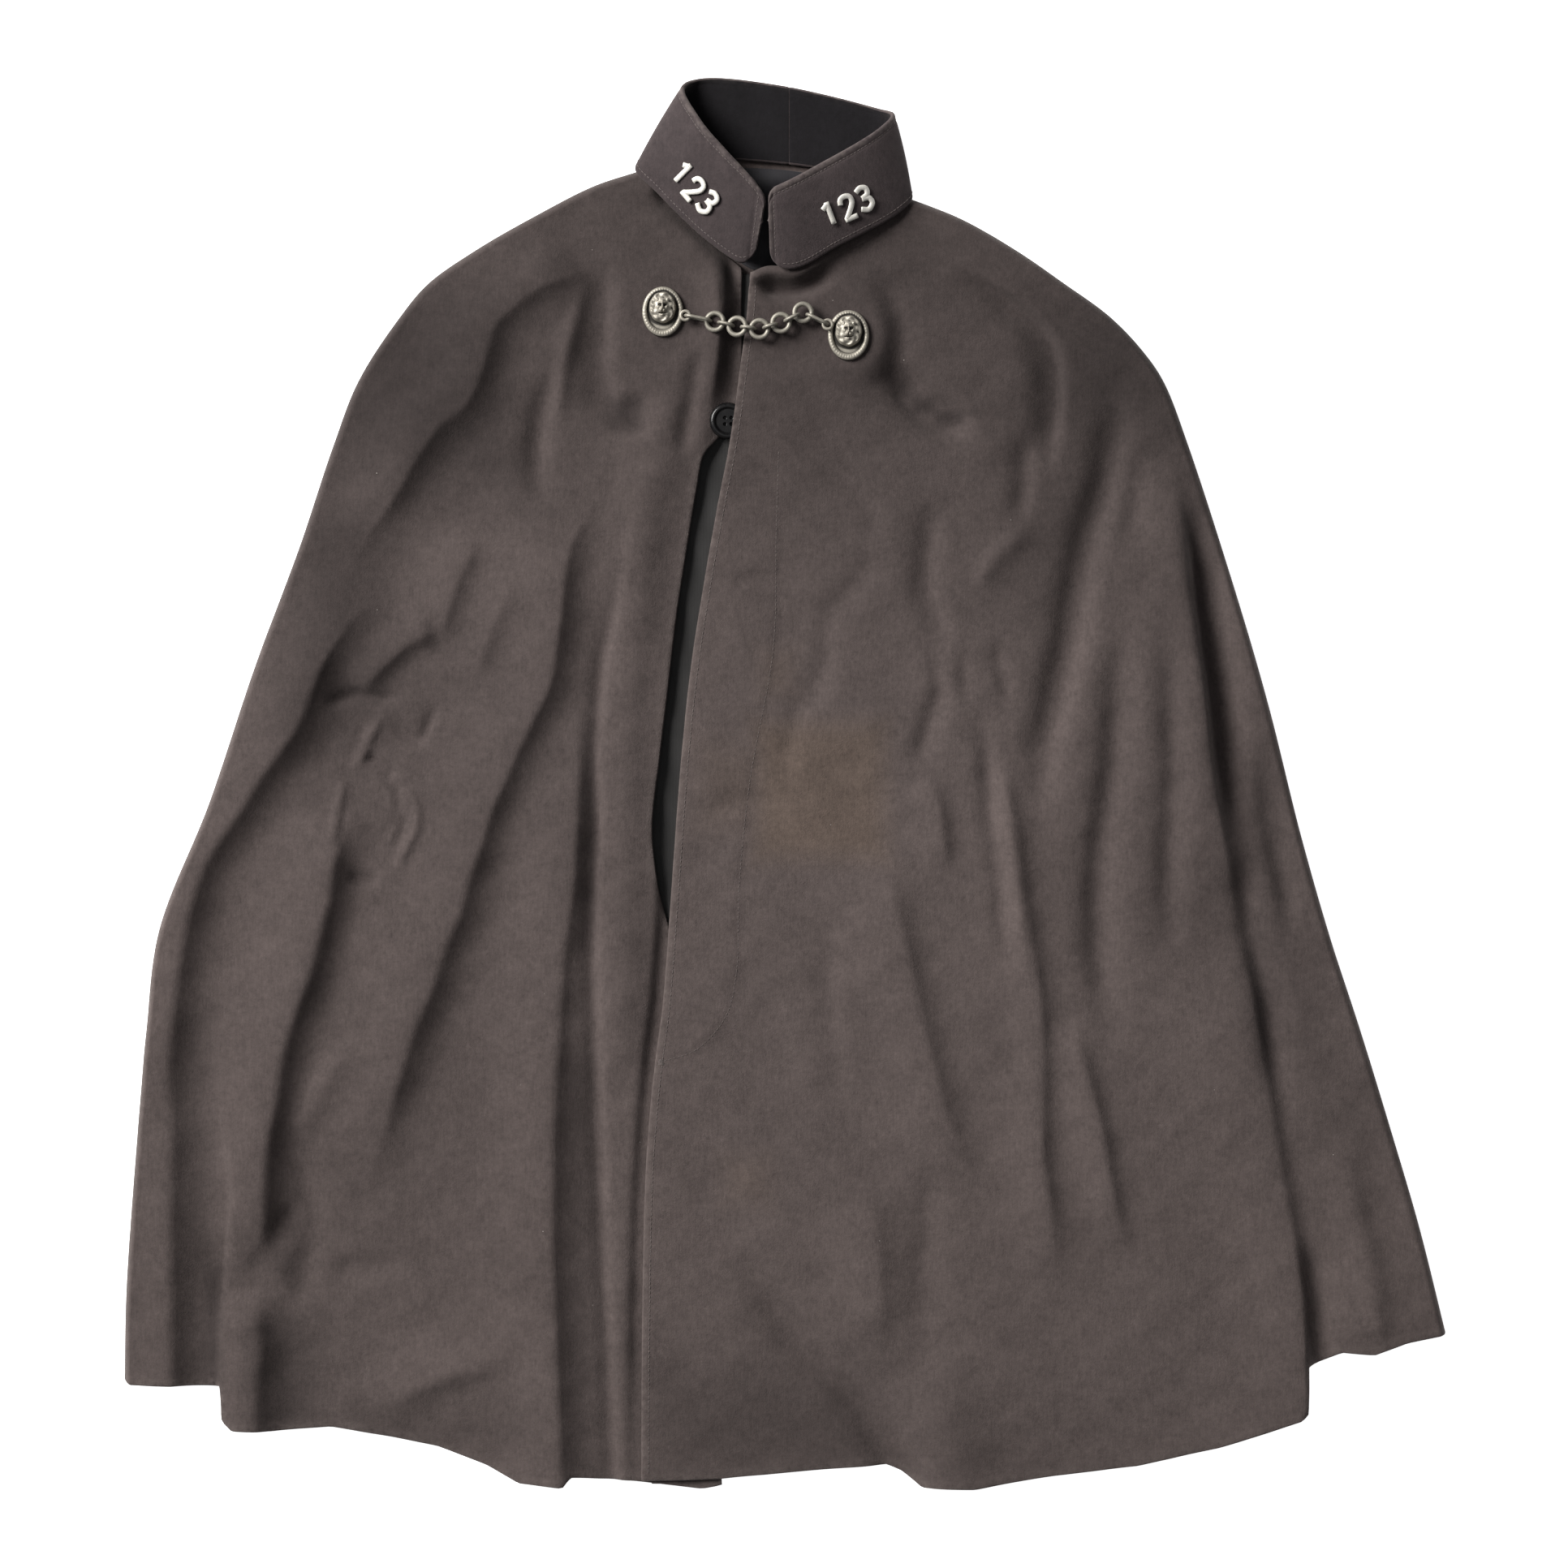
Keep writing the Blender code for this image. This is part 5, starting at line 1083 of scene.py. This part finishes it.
def make_chain(stops, metal):
    """The rings and the upright links that join them, from one boss's eye to the other's."""
    pile = Pile()
    upwards = np.array([0.0, 0.0, 1.0])
    loop, loop_faces = wire_loop(RING_RADIUS, 0.0, RING_WIRE, 56, 16)
    for k in range(RING_COUNT):
        pile.add(turned_points(loop, stops[k + 2] - stops[k], upwards) + stops[k + 1], loop_faces)
    radii = [EYE_RADIUS] + [RING_RADIUS] * RING_COUNT + [EYE_RADIUS]
    for k in range(LINK_COUNT):
        way = stops[k + 1] - stops[k]
        way /= np.linalg.norm(way)
        start = stops[k] + way * radii[k]
        end = stops[k + 1] - way * radii[k + 1]
        straight = max(0.5 * (np.linalg.norm(end - start) - WIRE_SPACING), 0.0)
        link, link_faces = wire_loop(LINK_RADIUS, straight, LINK_WIRE, 48, 14)
        side = np.cross(upwards, way)
        pile.add(turned_points(link, way, side) + 0.5 * (start + end), link_faces)
    nodes = [f"chain_ring_{k + 1}" for k in range(RING_COUNT)]
    nodes += [f"chain_link_{k + 1}" for k in range(LINK_COUNT)]
    return hand_over(pile.mesh("cape_chain", metal), "white_metal", *nodes)


def boss_height(u, v):
    """Height of a boss's face, from its place as shares of the half width and half height."""
    r = np.hypot(u, v)
    turn = np.arctan2(v, u)
    rim = 0.9 + 2.2 * np.sqrt(np.maximum(1.0 - ((r - 0.865) / 0.135) ** 2, 0.0))
    rim += 0.18 * np.cos(RIM_BEADS * turn) * np.exp(-(((r - 0.865) / 0.07) ** 2))
    w = (v - MASK_UP) / MASK_TALL
    u = u / MASK_WIDE
    m = np.hypot(u, w)
    dome = 4.6 * (1.0 - ease((m - 0.84) / 0.20)) + 2.6 * np.exp(-((m / 0.62) ** 2))
    around = np.arctan2(w, u)
    sway = 0.9 * np.sin(2.0 * around)
    mane = np.exp(-(((m - 0.80) / 0.17) ** 2)) * np.cos(MANE_LOCKS * around + 7.0 * m + sway)
    mane += 0.5 * np.exp(-(((m - 0.62) / 0.12) ** 2)) * np.cos((MANE_LOCKS - 2) * around - 5.0 * m + 1.4)
    face = np.zeros_like(u)
    for bump in LION:
        for sign in ((1.0, -1.0) if bump.x else (1.0,)):
            x, y = (u - sign * bump.x) / bump.wide, (w - bump.y) / bump.tall
            face += bump.height * np.exp(-(x**2 + y**2))
    mask = dome + 0.65 * mane * (m < 1.04) + 1.7 * face * (1.0 - ease((m - 0.55) / 0.25))
    return np.maximum(np.maximum(rim, 0.9 + mask), 0.6)


def round_grid(turns, rings, first):
    """Each ring's share of a round form's radius, and the places on the rings."""
    share = np.linspace(first, 1.0, rings)
    turn = 2.0 * math.pi * np.arange(turns) / turns
    return share, share[:, None] * np.cos(turn)[None, :], share[:, None] * np.sin(turn)[None, :]


def round_faces(turns, rings):
    """Faces of a round form: rings, one more ring at the foot, a top and a bottom point."""
    top = (rings + 1) * turns
    faces = []
    for k in range(turns):
        near = (k + 1) % turns
        for r in range(rings):
            faces.append((r * turns + k, r * turns + near, (r + 1) * turns + near, (r + 1) * turns + k))
        faces.append((k, top, near))
        faces.append((rings * turns + k, rings * turns + near, top + 1))
    return faces


def make_boss(name, node, foot, eye, metal):
    """An oval lion mask on a beaded plate, with the eye that holds the chain."""
    turns, rings = BOSS_GRID
    share, u, v = round_grid(turns, rings, 0.015)
    high = boss_height(u, v)
    face = np.stack([0.5 * BOSS_WIDE * u, 0.5 * BOSS_TALL * v, high], axis=2).reshape(-1, 3)
    foot_ring = face[-turns:] * np.array([1.0, 1.0, 0.0])
    top = boss_height(np.zeros(1), np.zeros(1))[0]
    points = np.concatenate([face, foot_ring, [[0.0, 0.0, top], [0.0, 0.0, 0.0]]])
    pile = Pile()
    pile.add(points + foot, round_faces(turns, rings))
    loop, loop_faces = wire_loop(EYE_RADIUS, 0.0, EYE_WIRE, 40, 14)
    pile.add(loop + eye, loop_faces)
    piece = pile.mesh(name, metal)
    dull_rim = DULL_RIM * ease((share - 0.70) / 0.08)
    hollow = np.clip(hollow_of(high) + dull_rim[:, None], 0.0, 1.0)
    below, on_eye = np.full(turns + 2, 0.5), np.full(len(loop), 0.45)
    add_value(piece, "hollow", np.concatenate([hollow.ravel(), below, on_eye]))
    return hand_over(piece, "white_metal", node)


def hollow_of(high):
    """How far each point of a boss's face lies below what is around it, from 0 to 1."""
    around = np.zeros_like(high)
    for step in (3, 6, 9):
        around += np.roll(high, step, axis=1) + np.roll(high, -step, axis=1)
        padded = np.pad(high, ((step, step), (0, 0)), mode="edge")
        around += padded[2 * step:] + padded[:-2 * step]
    return np.clip(0.38 + 1.0 * (around / 12.0 - high), 0.0, 1.0)


def make_button(plastic):
    """A dished round button with a raised rim and four holes."""
    turns, rings = BUTTON_GRID
    _, u, v = round_grid(turns, rings, 0.02)
    r = np.hypot(u, v)
    rim = BUTTON_DISH + (1.0 - BUTTON_DISH) * ease((r - 0.62) / 0.16)
    high = BUTTON_THICK * rim * np.sqrt(np.maximum(1.0 - ((r - 0.80).clip(0) / 0.215) ** 2, 0.0))
    for sx in (-1.0, 1.0):
        for sy in (-1.0, 1.0):
            hole = np.hypot(u - 0.17 * sx, v - 0.17 * sy)
            high = high - 0.55 * BUTTON_THICK * (1.0 - ease((hole - 0.055) / 0.04))
    face = np.stack([BUTTON_RADIUS * u, BUTTON_RADIUS * v, np.maximum(high, 0.15)], axis=2).reshape(-1, 3)
    under = face[-turns:] * np.array([0.88, 0.88, 0.0])
    points = np.concatenate([face, under, [[0.0, 0.0, BUTTON_DISH * BUTTON_THICK], [0.0, 0.0, 0.0]]])
    low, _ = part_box("button")
    middle = middle_of("button")
    pile = Pile()
    pile.add(points + np.array([middle[0], middle[1], low.z / MM]), round_faces(turns, rings))
    return hand_over(pile.mesh("cape_button", plastic), "black_plastic", "button")


def make_numerals(metal):
    """Three plain numerals on each front end of the collar."""
    both, _ = collar_curves(600)
    parts = np.linspace(0.0, 1.0, 25)[None, :, None]
    grid = both[:, None, :3] * (1 - parts) + both[:, None, 3:] * parts
    surface = grid.reshape(-1, 3)
    normals = grid_normals(grid).reshape(-1, 3)
    facing = np.abs(normals[:, 2]) > 0.2
    facing &= surface[:, 2] > 12.0
    surface, normals = surface[facing], normals[facing]
    normals = normals * np.sign(normals[:, 2:3])
    for side, centre, slope in NUMERAL_ROWS:
        angle = math.radians(slope)
        pile = Pile()
        for k, strokes in enumerate(STROKES.values()):
            x = centre[0] + (k - 1) * NUMERAL_PITCH * math.cos(angle)
            y = centre[1] + (k - 1) * NUMERAL_PITCH * math.sin(angle)
            near = int(np.argmin(np.hypot(surface[:, 0] - x, surface[:, 1] - y)))
            up = normals[near]
            right = np.array([math.cos(angle), math.sin(angle), 0.0])
            right = right - up * right.dot(up)
            lift = 0.5 * COLLAR_CLOTH + 0.5 * NUMERAL_THICK + 2.0 * SEAM + 0.6
            for stroke in strokes:
                add_stroke(pile, stroke, right, up, surface[near] + up * lift)
        piece = pile.mesh(f"collar_numerals_{side}", metal)
        hand_over(piece, "white_metal", *[f"numeral_{side}_{k + 1}" for k in range(3)])


def add_stroke(pile, stroke, right, up, middle):
    """One rounded bar of a numeral."""
    count = 40 if len(stroke) > 2 else 8
    path = smooth_curve([(a, b, 0.0) for a, b in stroke], count) * (NUMERAL_HEIGHT - NUMERAL_WIDTH)
    points, faces = tube(path, NUMERAL_WIDTH, NUMERAL_THICK, 16, False, (0, 0, 1))
    pile.add(turned_points(points, right, up) + middle, faces)


def add_stitches(pile, path, up, pitch, length, wide):
    """A row of short stitches along a path."""
    run = np.gradient(path, axis=0)
    along = run_along(path)
    faces = bar_faces(len(STITCH_RINGS), STITCH_SIDES, False)
    for place in np.arange(0.5 * pitch, along[-1] - 0.4 * pitch, pitch):
        at = np.array([np.interp(place, along, path[:, c]) for c in range(3)])
        way = np.array([np.interp(place, along, run[:, c]) for c in range(3)])
        top = np.array([np.interp(place, along, up[:, c]) for c in range(3)])
        way /= np.linalg.norm(way)
        top -= way * top.dot(way)
        top /= np.linalg.norm(top)
        out = np.cross(way, top)
        points = []
        for ring in STITCH_RINGS:
            middle = at + way * ring.along * length + top * ring.rise * wide
            half = 0.5 * wide * ring.size
            for k in range(STITCH_SIDES):
                turn = 2.0 * math.pi * k / STITCH_SIDES
                points.append(middle + half * (top * math.sin(turn) + out * math.cos(turn)))
        pile.add(points, faces)


def surface_path(plan, height, lift):
    """A path on a front's outer face, with the way up at each point."""
    step = 0.4
    z = height(plan)
    dx = (height(plan + [step, 0.0]) - height(plan - [step, 0.0])) / (2 * step)
    dy = (height(plan + [0.0, step]) - height(plan - [0.0, step])) / (2 * step)
    up = np.stack([-dx, -dy, np.ones(len(plan))], axis=1)
    up /= np.linalg.norm(up, axis=1, keepdims=True)
    return np.concatenate([plan, z[:, None]], axis=1) + lift * up, up


def make_front_stitches(thread):
    """Edge stitching of the left front, the row that holds the flap and its bar tack."""
    pile = Pile()
    edge = inset(smooth_curve(LEFT_EDGE, 420), EDGE_STITCH_IN, 1.0)[4:-2]
    add_stitches(pile, *surface_path(edge, left_height, 0.0), *EDGE_STITCH)
    flap = smooth_curve(FLAP, 260)[6:-1]
    add_stitches(pile, *surface_path(flap, left_height, -0.05), *FLAP_STITCH)
    for k in range(TACK_ROWS):
        row = np.array(TACK_ROW) - [0.0, TACK_PITCH * k]
        add_stitches(pile, *surface_path(row, left_height, 0.0), *TACK_STITCH)
    return hand_over(pile.mesh("front_stitching", thread), "wool")


def make_collar_stitches(name, outer, normal, thread):
    """Edge stitching along a collar half's top and front end, and the seam at its foot."""
    pile = Pile()
    tall = np.linalg.norm(outer[:, -1] - outer[:, 0], axis=1)
    share = 1.0 - COLLAR_STITCH_IN / tall
    rows = np.arange(len(outer))
    run = run_along(outer[:, 14])
    first = int(np.searchsorted(run, COLLAR_STITCH_IN))
    spots = np.linalg.norm(outer - outer[:, :1], axis=2) / tall[:, None]
    top = np.array([[np.interp(share[r], spots[r], outer[r, :, c]) for c in range(3)]
                    for r in rows[first:]])
    add_stitches(pile, top, normal[first:, -4], *COLLAR_STITCH)
    end = smooth_curve(outer[first, 3:-4], 60)
    add_stitches(pile, end, np.repeat(normal[first:first + 1, 12], len(end), axis=0), *COLLAR_STITCH)
    foot = outer[first + 4:, 2]
    add_stitches(pile, foot, normal[first + 4:, 2], *COLLAR_STITCH)
    return hand_over(pile.mesh(name, thread), "wool")


class Nodes:
    """Short ways to lay out one material's nodes."""

    def __init__(self, name):
        self.material = bpy.data.materials.new(name)
        self.material.use_nodes = True
        self.tree = self.material.node_tree
        self.surface = self.tree.nodes["Principled BSDF"]
        coordinate = self.tree.nodes.new("ShaderNodeTexCoord")
        self.place = coordinate.outputs["Object"]

    def link(self, source, target):
        self.tree.links.new(source, target)

    def set(self, **values):
        for name, value in values.items():
            self.surface.inputs[name.replace("_", " ")].default_value = value

    def stretched(self, scale):
        node = self.tree.nodes.new("ShaderNodeMapping")
        node.inputs["Scale"].default_value = scale
        self.link(self.place, node.inputs["Vector"])
        return node.outputs["Vector"]

    def noise(self, scale, detail=3.0, roughness=0.55, where=None):
        node = self.tree.nodes.new("ShaderNodeTexNoise")
        node.inputs["Scale"].default_value = scale
        node.inputs["Detail"].default_value = detail
        node.inputs["Roughness"].default_value = roughness
        self.link(where or self.place, node.inputs["Vector"])
        return node.outputs["Fac"]

    def specks(self, scale, size, keep):
        """Small dots, on some of the cells of a random pattern."""
        node = self.tree.nodes.new("ShaderNodeTexVoronoi")
        node.inputs["Scale"].default_value = scale
        self.link(self.place, node.inputs["Vector"])
        dot = self.ramp(node.outputs["Distance"], [(0.0, 1.0), (size, 0.0)])
        pick = self.tree.nodes.new("ShaderNodeSeparateColor")
        self.link(node.outputs["Color"], pick.inputs["Color"])
        kept = self.ramp(pick.outputs["Red"], [(1.0 - keep - 0.01, 0.0), (1.0 - keep, 1.0)])
        return self.math("MULTIPLY", dot, kept)

    def value(self, name):
        node = self.tree.nodes.new("ShaderNodeAttribute")
        node.attribute_name = name
        return node.outputs["Fac"]

    def math(self, operation, a, b):
        node = self.tree.nodes.new("ShaderNodeMath")
        node.operation = operation
        for source, target in zip((a, b), node.inputs):
            if isinstance(source, (int, float)):
                target.default_value = source
            else:
                self.link(source, target)
        return node.outputs[0]

    def ramp(self, source, stops):
        """A grey or coloured ramp through the stops given."""
        node = self.tree.nodes.new("ShaderNodeValToRGB")
        points = node.color_ramp.elements
        while len(points) < len(stops):
            points.new(0.5)
        for point, (place, colour) in zip(points, stops):
            point.position = place
            point.color = (*colour, 1.0) if isinstance(colour, tuple) else (colour, colour, colour, 1.0)
        self.link(source, node.inputs["Fac"])
        return node.outputs["Color"]

    def mix(self, share, a, b):
        node = self.tree.nodes.new("ShaderNodeMix")
        node.data_type = "RGBA"
        for source, target in ((share, node.inputs[0]), (a, node.inputs[6]), (b, node.inputs[7])):
            if isinstance(source, tuple):
                target.default_value = (*source, 1.0)
            elif isinstance(source, (int, float)):
                target.default_value = source
            else:
                self.link(source, target)
        return node.outputs[2]

    def tint(self, share, colour, by):
        """A colour multiplied by another one, as far as the share says."""
        mixed = self.mix(share, colour, by)
        mixed.node.blend_type = "MULTIPLY"
        return mixed

    def bump(self, source, strength, distance, after=None):
        node = self.tree.nodes.new("ShaderNodeBump")
        node.inputs["Strength"].default_value = strength
        node.inputs["Distance"].default_value = distance
        self.link(source, node.inputs["Height"])
        if after is not None:
            self.link(after, node.inputs["Normal"])
        return node.outputs["Normal"]

    def finish(self, colour, normal, roughness=None):
        self.link(colour, self.surface.inputs["Base Color"])
        self.link(normal, self.surface.inputs["Normal"])
        if roughness is not None:
            self.link(roughness, self.surface.inputs["Roughness"])
        return self.material


def wool(name, dark, light, faded, worn, speck_share):
    """Thick fulled wool: short nap, faint lines down the cloth, fading, painted shade, worn edges and
    lint.
    """
    n = Nodes(name)
    broad = n.noise(11.0, 3.0, 0.6)
    mottle = n.noise(95.0, 4.0, 0.6)
    lines = n.noise(1.0, 2.0, 0.5, n.stretched((760.0, 120.0, 500.0)))
    fleck = n.noise(290.0, 3.0, 0.6)
    nap = n.noise(950.0, 3.0, 0.7)
    tone = n.math("ADD", n.math("MULTIPLY", broad, 0.18), n.math("MULTIPLY", mottle, 0.30))
    tone = n.math("ADD", tone, n.math("MULTIPLY", lines, 0.22))
    tone = n.math("ADD", tone, n.math("MULTIPLY", fleck, 0.34))
    tone = n.math("ADD", tone, n.math("MULTIPLY", nap, 0.34))
    colour = n.ramp(tone, [(0.49, dark), (0.89, light)])
    # Painted shade: darken the wool as far as the shade value says
    colour = n.tint(n.value("shade"), colour, PAINTED_SHADE_TINT)
    colour = n.tint(n.value("fade"), colour, faded)
    rubbed = n.ramp(n.noise(240.0, 3.0), [(0.35, 0.0), (0.70, 0.65)])
    colour = n.mix(n.math("MULTIPLY", n.value("wear"), rubbed), colour, worn)
    colour = n.mix(n.specks(62.0, 0.028, speck_share), colour, GREY_LINT)
    colour = n.mix(n.specks(26.0, 0.020, 0.5 * speck_share), colour, PALE_LINT)
    normal = n.bump(nap, 0.50, 0.0007)
    normal = n.bump(lines, 0.12, 0.0007, normal)
    normal = n.bump(mottle, 0.30, 0.0010, normal)
    n.set(Roughness=0.93, Sheen_Weight=0.10, Sheen_Roughness=0.55, Sheen_Tint=(0.75, 0.68, 0.64, 1.0))
    n.set(Specular_IOR_Level=0.18)
    return n.finish(colour, normal)


def lining(name, dark, light, sheen):
    """Close black cotton sateen with fine twill lines."""
    n = Nodes(name)
    twill = n.tree.nodes.new("ShaderNodeTexWave")
    twill.inputs["Scale"].default_value = 420.0
    twill.inputs["Distortion"].default_value = 1.2
    twill.inputs["Detail Scale"].default_value = 3.0
    n.link(n.place, twill.inputs["Vector"])
    cloud = n.noise(70.0, 4.0, 0.6)
    tone = n.math("ADD", n.math("MULTIPLY", cloud, 0.7), n.math("MULTIPLY", twill.outputs["Fac"], 0.3))
    colour = n.ramp(tone, [(0.25, dark), (0.75, light)])
    normal = n.bump(twill.outputs["Fac"], 0.15, 0.0002)
    n.set(Roughness=0.62, Sheen_Weight=sheen, Specular_IOR_Level=0.35)
    return n.finish(colour, normal)


def old_metal(name, bright, dark, hollow_name, metallic):
    """White metal that has dulled, with dark tarnish in its hollows."""
    n = Nodes(name)
    stain = n.noise(900.0, 4.0, 0.65)
    cloud = n.noise(260.0, 3.0, 0.6)
    share = n.ramp(cloud, [(0.40, 0.0), (0.80, 0.40)])
    if hollow_name:
        share = n.math("MAXIMUM", share, n.ramp(n.value(hollow_name), [(0.54, 0.0), (0.95, 0.95)]))
    colour = n.mix(share, n.ramp(stain, [(0.30, tuple(0.72 * c for c in bright)), (0.65, bright)]), dark)
    roughness = n.ramp(n.math("ADD", share, n.math("MULTIPLY", stain, 0.25)), [(0.0, 0.46), (1.0, 0.75)])
    normal = n.bump(stain, 0.15, 0.0003)
    n.set(Metallic=metallic)
    return n.finish(colour, normal, roughness)


def black_horn(name):
    """Polished black horn with faint cloud and scratches."""
    n = Nodes(name)
    cloud = n.noise(160.0, 4.0, 0.6)
    scratch = n.noise(1.0, 2.0, 0.5, n.stretched((2600.0, 300.0, 900.0)))
    colour = n.ramp(cloud, [(0.3, HORN_TONES[0]), (0.75, HORN_TONES[1])])
    roughness = n.ramp(scratch, [(0.3, 0.20), (0.75, 0.40)])
    normal = n.bump(scratch, 0.06, 0.0002)
    n.set(Specular_IOR_Level=0.30)
    return n.finish(colour, normal, roughness)


def thread(name, dark, light):
    """Dull sewing thread."""
    n = Nodes(name)
    twist = n.noise(1800.0, 2.0, 0.5)
    colour = n.ramp(twist, [(0.35, dark), (0.65, light)])
    n.set(Roughness=0.85, Sheen_Weight=0.1)
    return n.finish(colour, n.bump(twist, 0.3, 0.0002))


def floor_paint(name):
    """Plain pale floor with a trace of tone, lit from inside like a light table."""
    n = Nodes(name)
    cloud = n.noise(2.0, 3.0, 0.5)
    colour = n.ramp(cloud, [(0.2, (0.86, 0.86, 0.86)), (0.8, (0.90, 0.90, 0.90))])
    n.set(Roughness=0.9, Specular_IOR_Level=0.1)
    n.set(Emission_Color=(1.0, 1.0, 1.0, 1.0), Emission_Strength=FLOOR_GLOW)
    return n.finish(colour, n.bump(n.noise(300.0), 0.02, 0.0005))


def make_floor():
    """A wide pale floor just under the cape."""
    half = FLOOR_HALF / MM
    low = -FLOOR_DROP / MM
    corners = [(-half, -half, low), (half, -half, low), (half, half, low), (-half, half, low)]
    floor = add_mesh("floor", corners, [(0, 1, 2, 3)], [floor_paint("pale_floor")])


def area_light(name, place, target, size, power, colour):
    """A soft rectangular light that faces a point."""
    lamp = bpy.data.lights.new(name, "AREA")
    lamp.shape = "RECTANGLE"
    lamp.size, lamp.size_y = size
    lamp.energy = power
    lamp.color = colour
    holder = bpy.data.objects.new(name, lamp)
    bpy.context.scene.collection.objects.link(holder)
    holder.location = place
    holder.rotation_euler = (Vector(target) - Vector(place)).to_track_quat("-Z", "Y").to_euler()
    holder.visible_camera = False


def make_lights():
    """A soft key light from the upper left, a faint broad one overhead and faint surroundings."""
    area_light("key_light", KEY_PLACE, (0.0, 0.0, 0.0), KEY_SIZE, KEY_POWER, (1.0, 0.985, 0.965))
    area_light("top_light", TOP_PLACE, (0.0, -0.2, 0.0), TOP_SIZE, TOP_POWER, (1.0, 1.0, 1.0))
    world = bpy.data.worlds.new("surroundings")
    world.use_nodes = True
    shade = world.node_tree.nodes["Background"]
    shade.inputs["Color"].default_value = (0.95, 0.96, 1.0, 1.0)
    shade.inputs["Strength"].default_value = SURROUNDINGS
    bpy.context.scene.world = world


def make_camera():
    """The camera looks straight down, with the collar at the top of the picture."""
    lens = bpy.data.cameras.new("camera")
    lens.lens = CAMERA_LENS
    lens.sensor_width = 36.0
    camera = bpy.data.objects.new("camera", lens)
    bpy.context.scene.collection.objects.link(camera)
    camera.location = (*CAMERA_AT, CAMERA_HEIGHT)
    camera.rotation_euler = (0.0, 0.0, 0.0)
    bpy.context.scene.camera = camera
    bpy.context.scene.view_settings.view_transform = "Standard"


def make_cloth():
    """The sewn pieces of the cape with their stitching."""
    body = wool(*MELTON)
    band = wool(*COLLAR_WOOL)
    # The collar's inside, a darker facing with painted shade
    facing = wool(*COLLAR_FACING_AND_SHADE)
    sateen = lining(*NECK_SATEEN)
    # Dark grey strip cloth with painted shade of the opening
    strip = lining(*STAND_SATEEN_AND_SHADE)
    sewing = thread("sewing_thread", *THREAD_TONES)
    back = make_back(body)
    stand = make_button_stand(strip)
    neck = make_neck_lining(sateen)
    right_edges = (RIGHT_EDGE, RIGHT_SIDE, RIGHT_NECK, RIGHT_HEM)
    left_edges = (LEFT_EDGE, LEFT_SIDE, LEFT_NECK, LEFT_HEM)
    right = make_front("front_right", right_edges, right_height, RIGHT_GRID, body)
    left = make_front("front_left", left_edges, left_height, LEFT_GRID, body)
    _, seam = collar_curves(600)
    right_span, left_span = (0.0, seam - HALF_SEAM), (1.0, seam + HALF_SEAM)
    collar_right, *right_face = make_collar_half("collar_right", *right_span, [band, facing])
    collar_left, *left_face = make_collar_half("collar_left", *left_span, [band, facing])
    make_neck_seam("neck_seam_right", *right_span, band)
    make_neck_seam("neck_seam_left", *left_span, band)
    front_rows = make_front_stitches(sewing)
    right_rows = make_collar_stitches("collar_stitching_right", *right_face, sewing)
    left_rows = make_collar_stitches("collar_stitching_left", *left_face, sewing)


def make_metalwork():
    """Bosses, chain, numerals and button."""
    mask = old_metal(*MASK_METAL)
    wire = old_metal(*CHAIN_METAL)
    white = old_metal(*NUMERAL_METAL)
    rings = [middle_of(f"chain_ring_{k + 1}") for k in range(RING_COUNT)]
    right_foot = boss_foot(BOSS_RIGHT, RIGHT_SEAT)
    left_foot = boss_foot(BOSS_LEFT, LEFT_SEAT)
    right_eye = eye_of(right_foot, rings[0])
    left_eye = eye_of(left_foot, rings[-1])
    make_boss("lion_boss_right", "boss_right", right_foot, right_eye, mask)
    make_boss("lion_boss_left", "boss_left", left_foot, left_eye, mask)
    make_chain([right_eye, *rings, left_eye], wire)
    make_numerals(white)
    make_button(black_horn("black_horn"))


def main():
    """Dress the part's solids."""
    for item in list(bpy.data.objects):
        bpy.data.objects.remove(item, do_unlink=True)
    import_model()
    make_camera()
    make_floor()
    make_lights()
    make_cloth()
    make_metalwork()
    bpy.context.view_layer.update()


main()
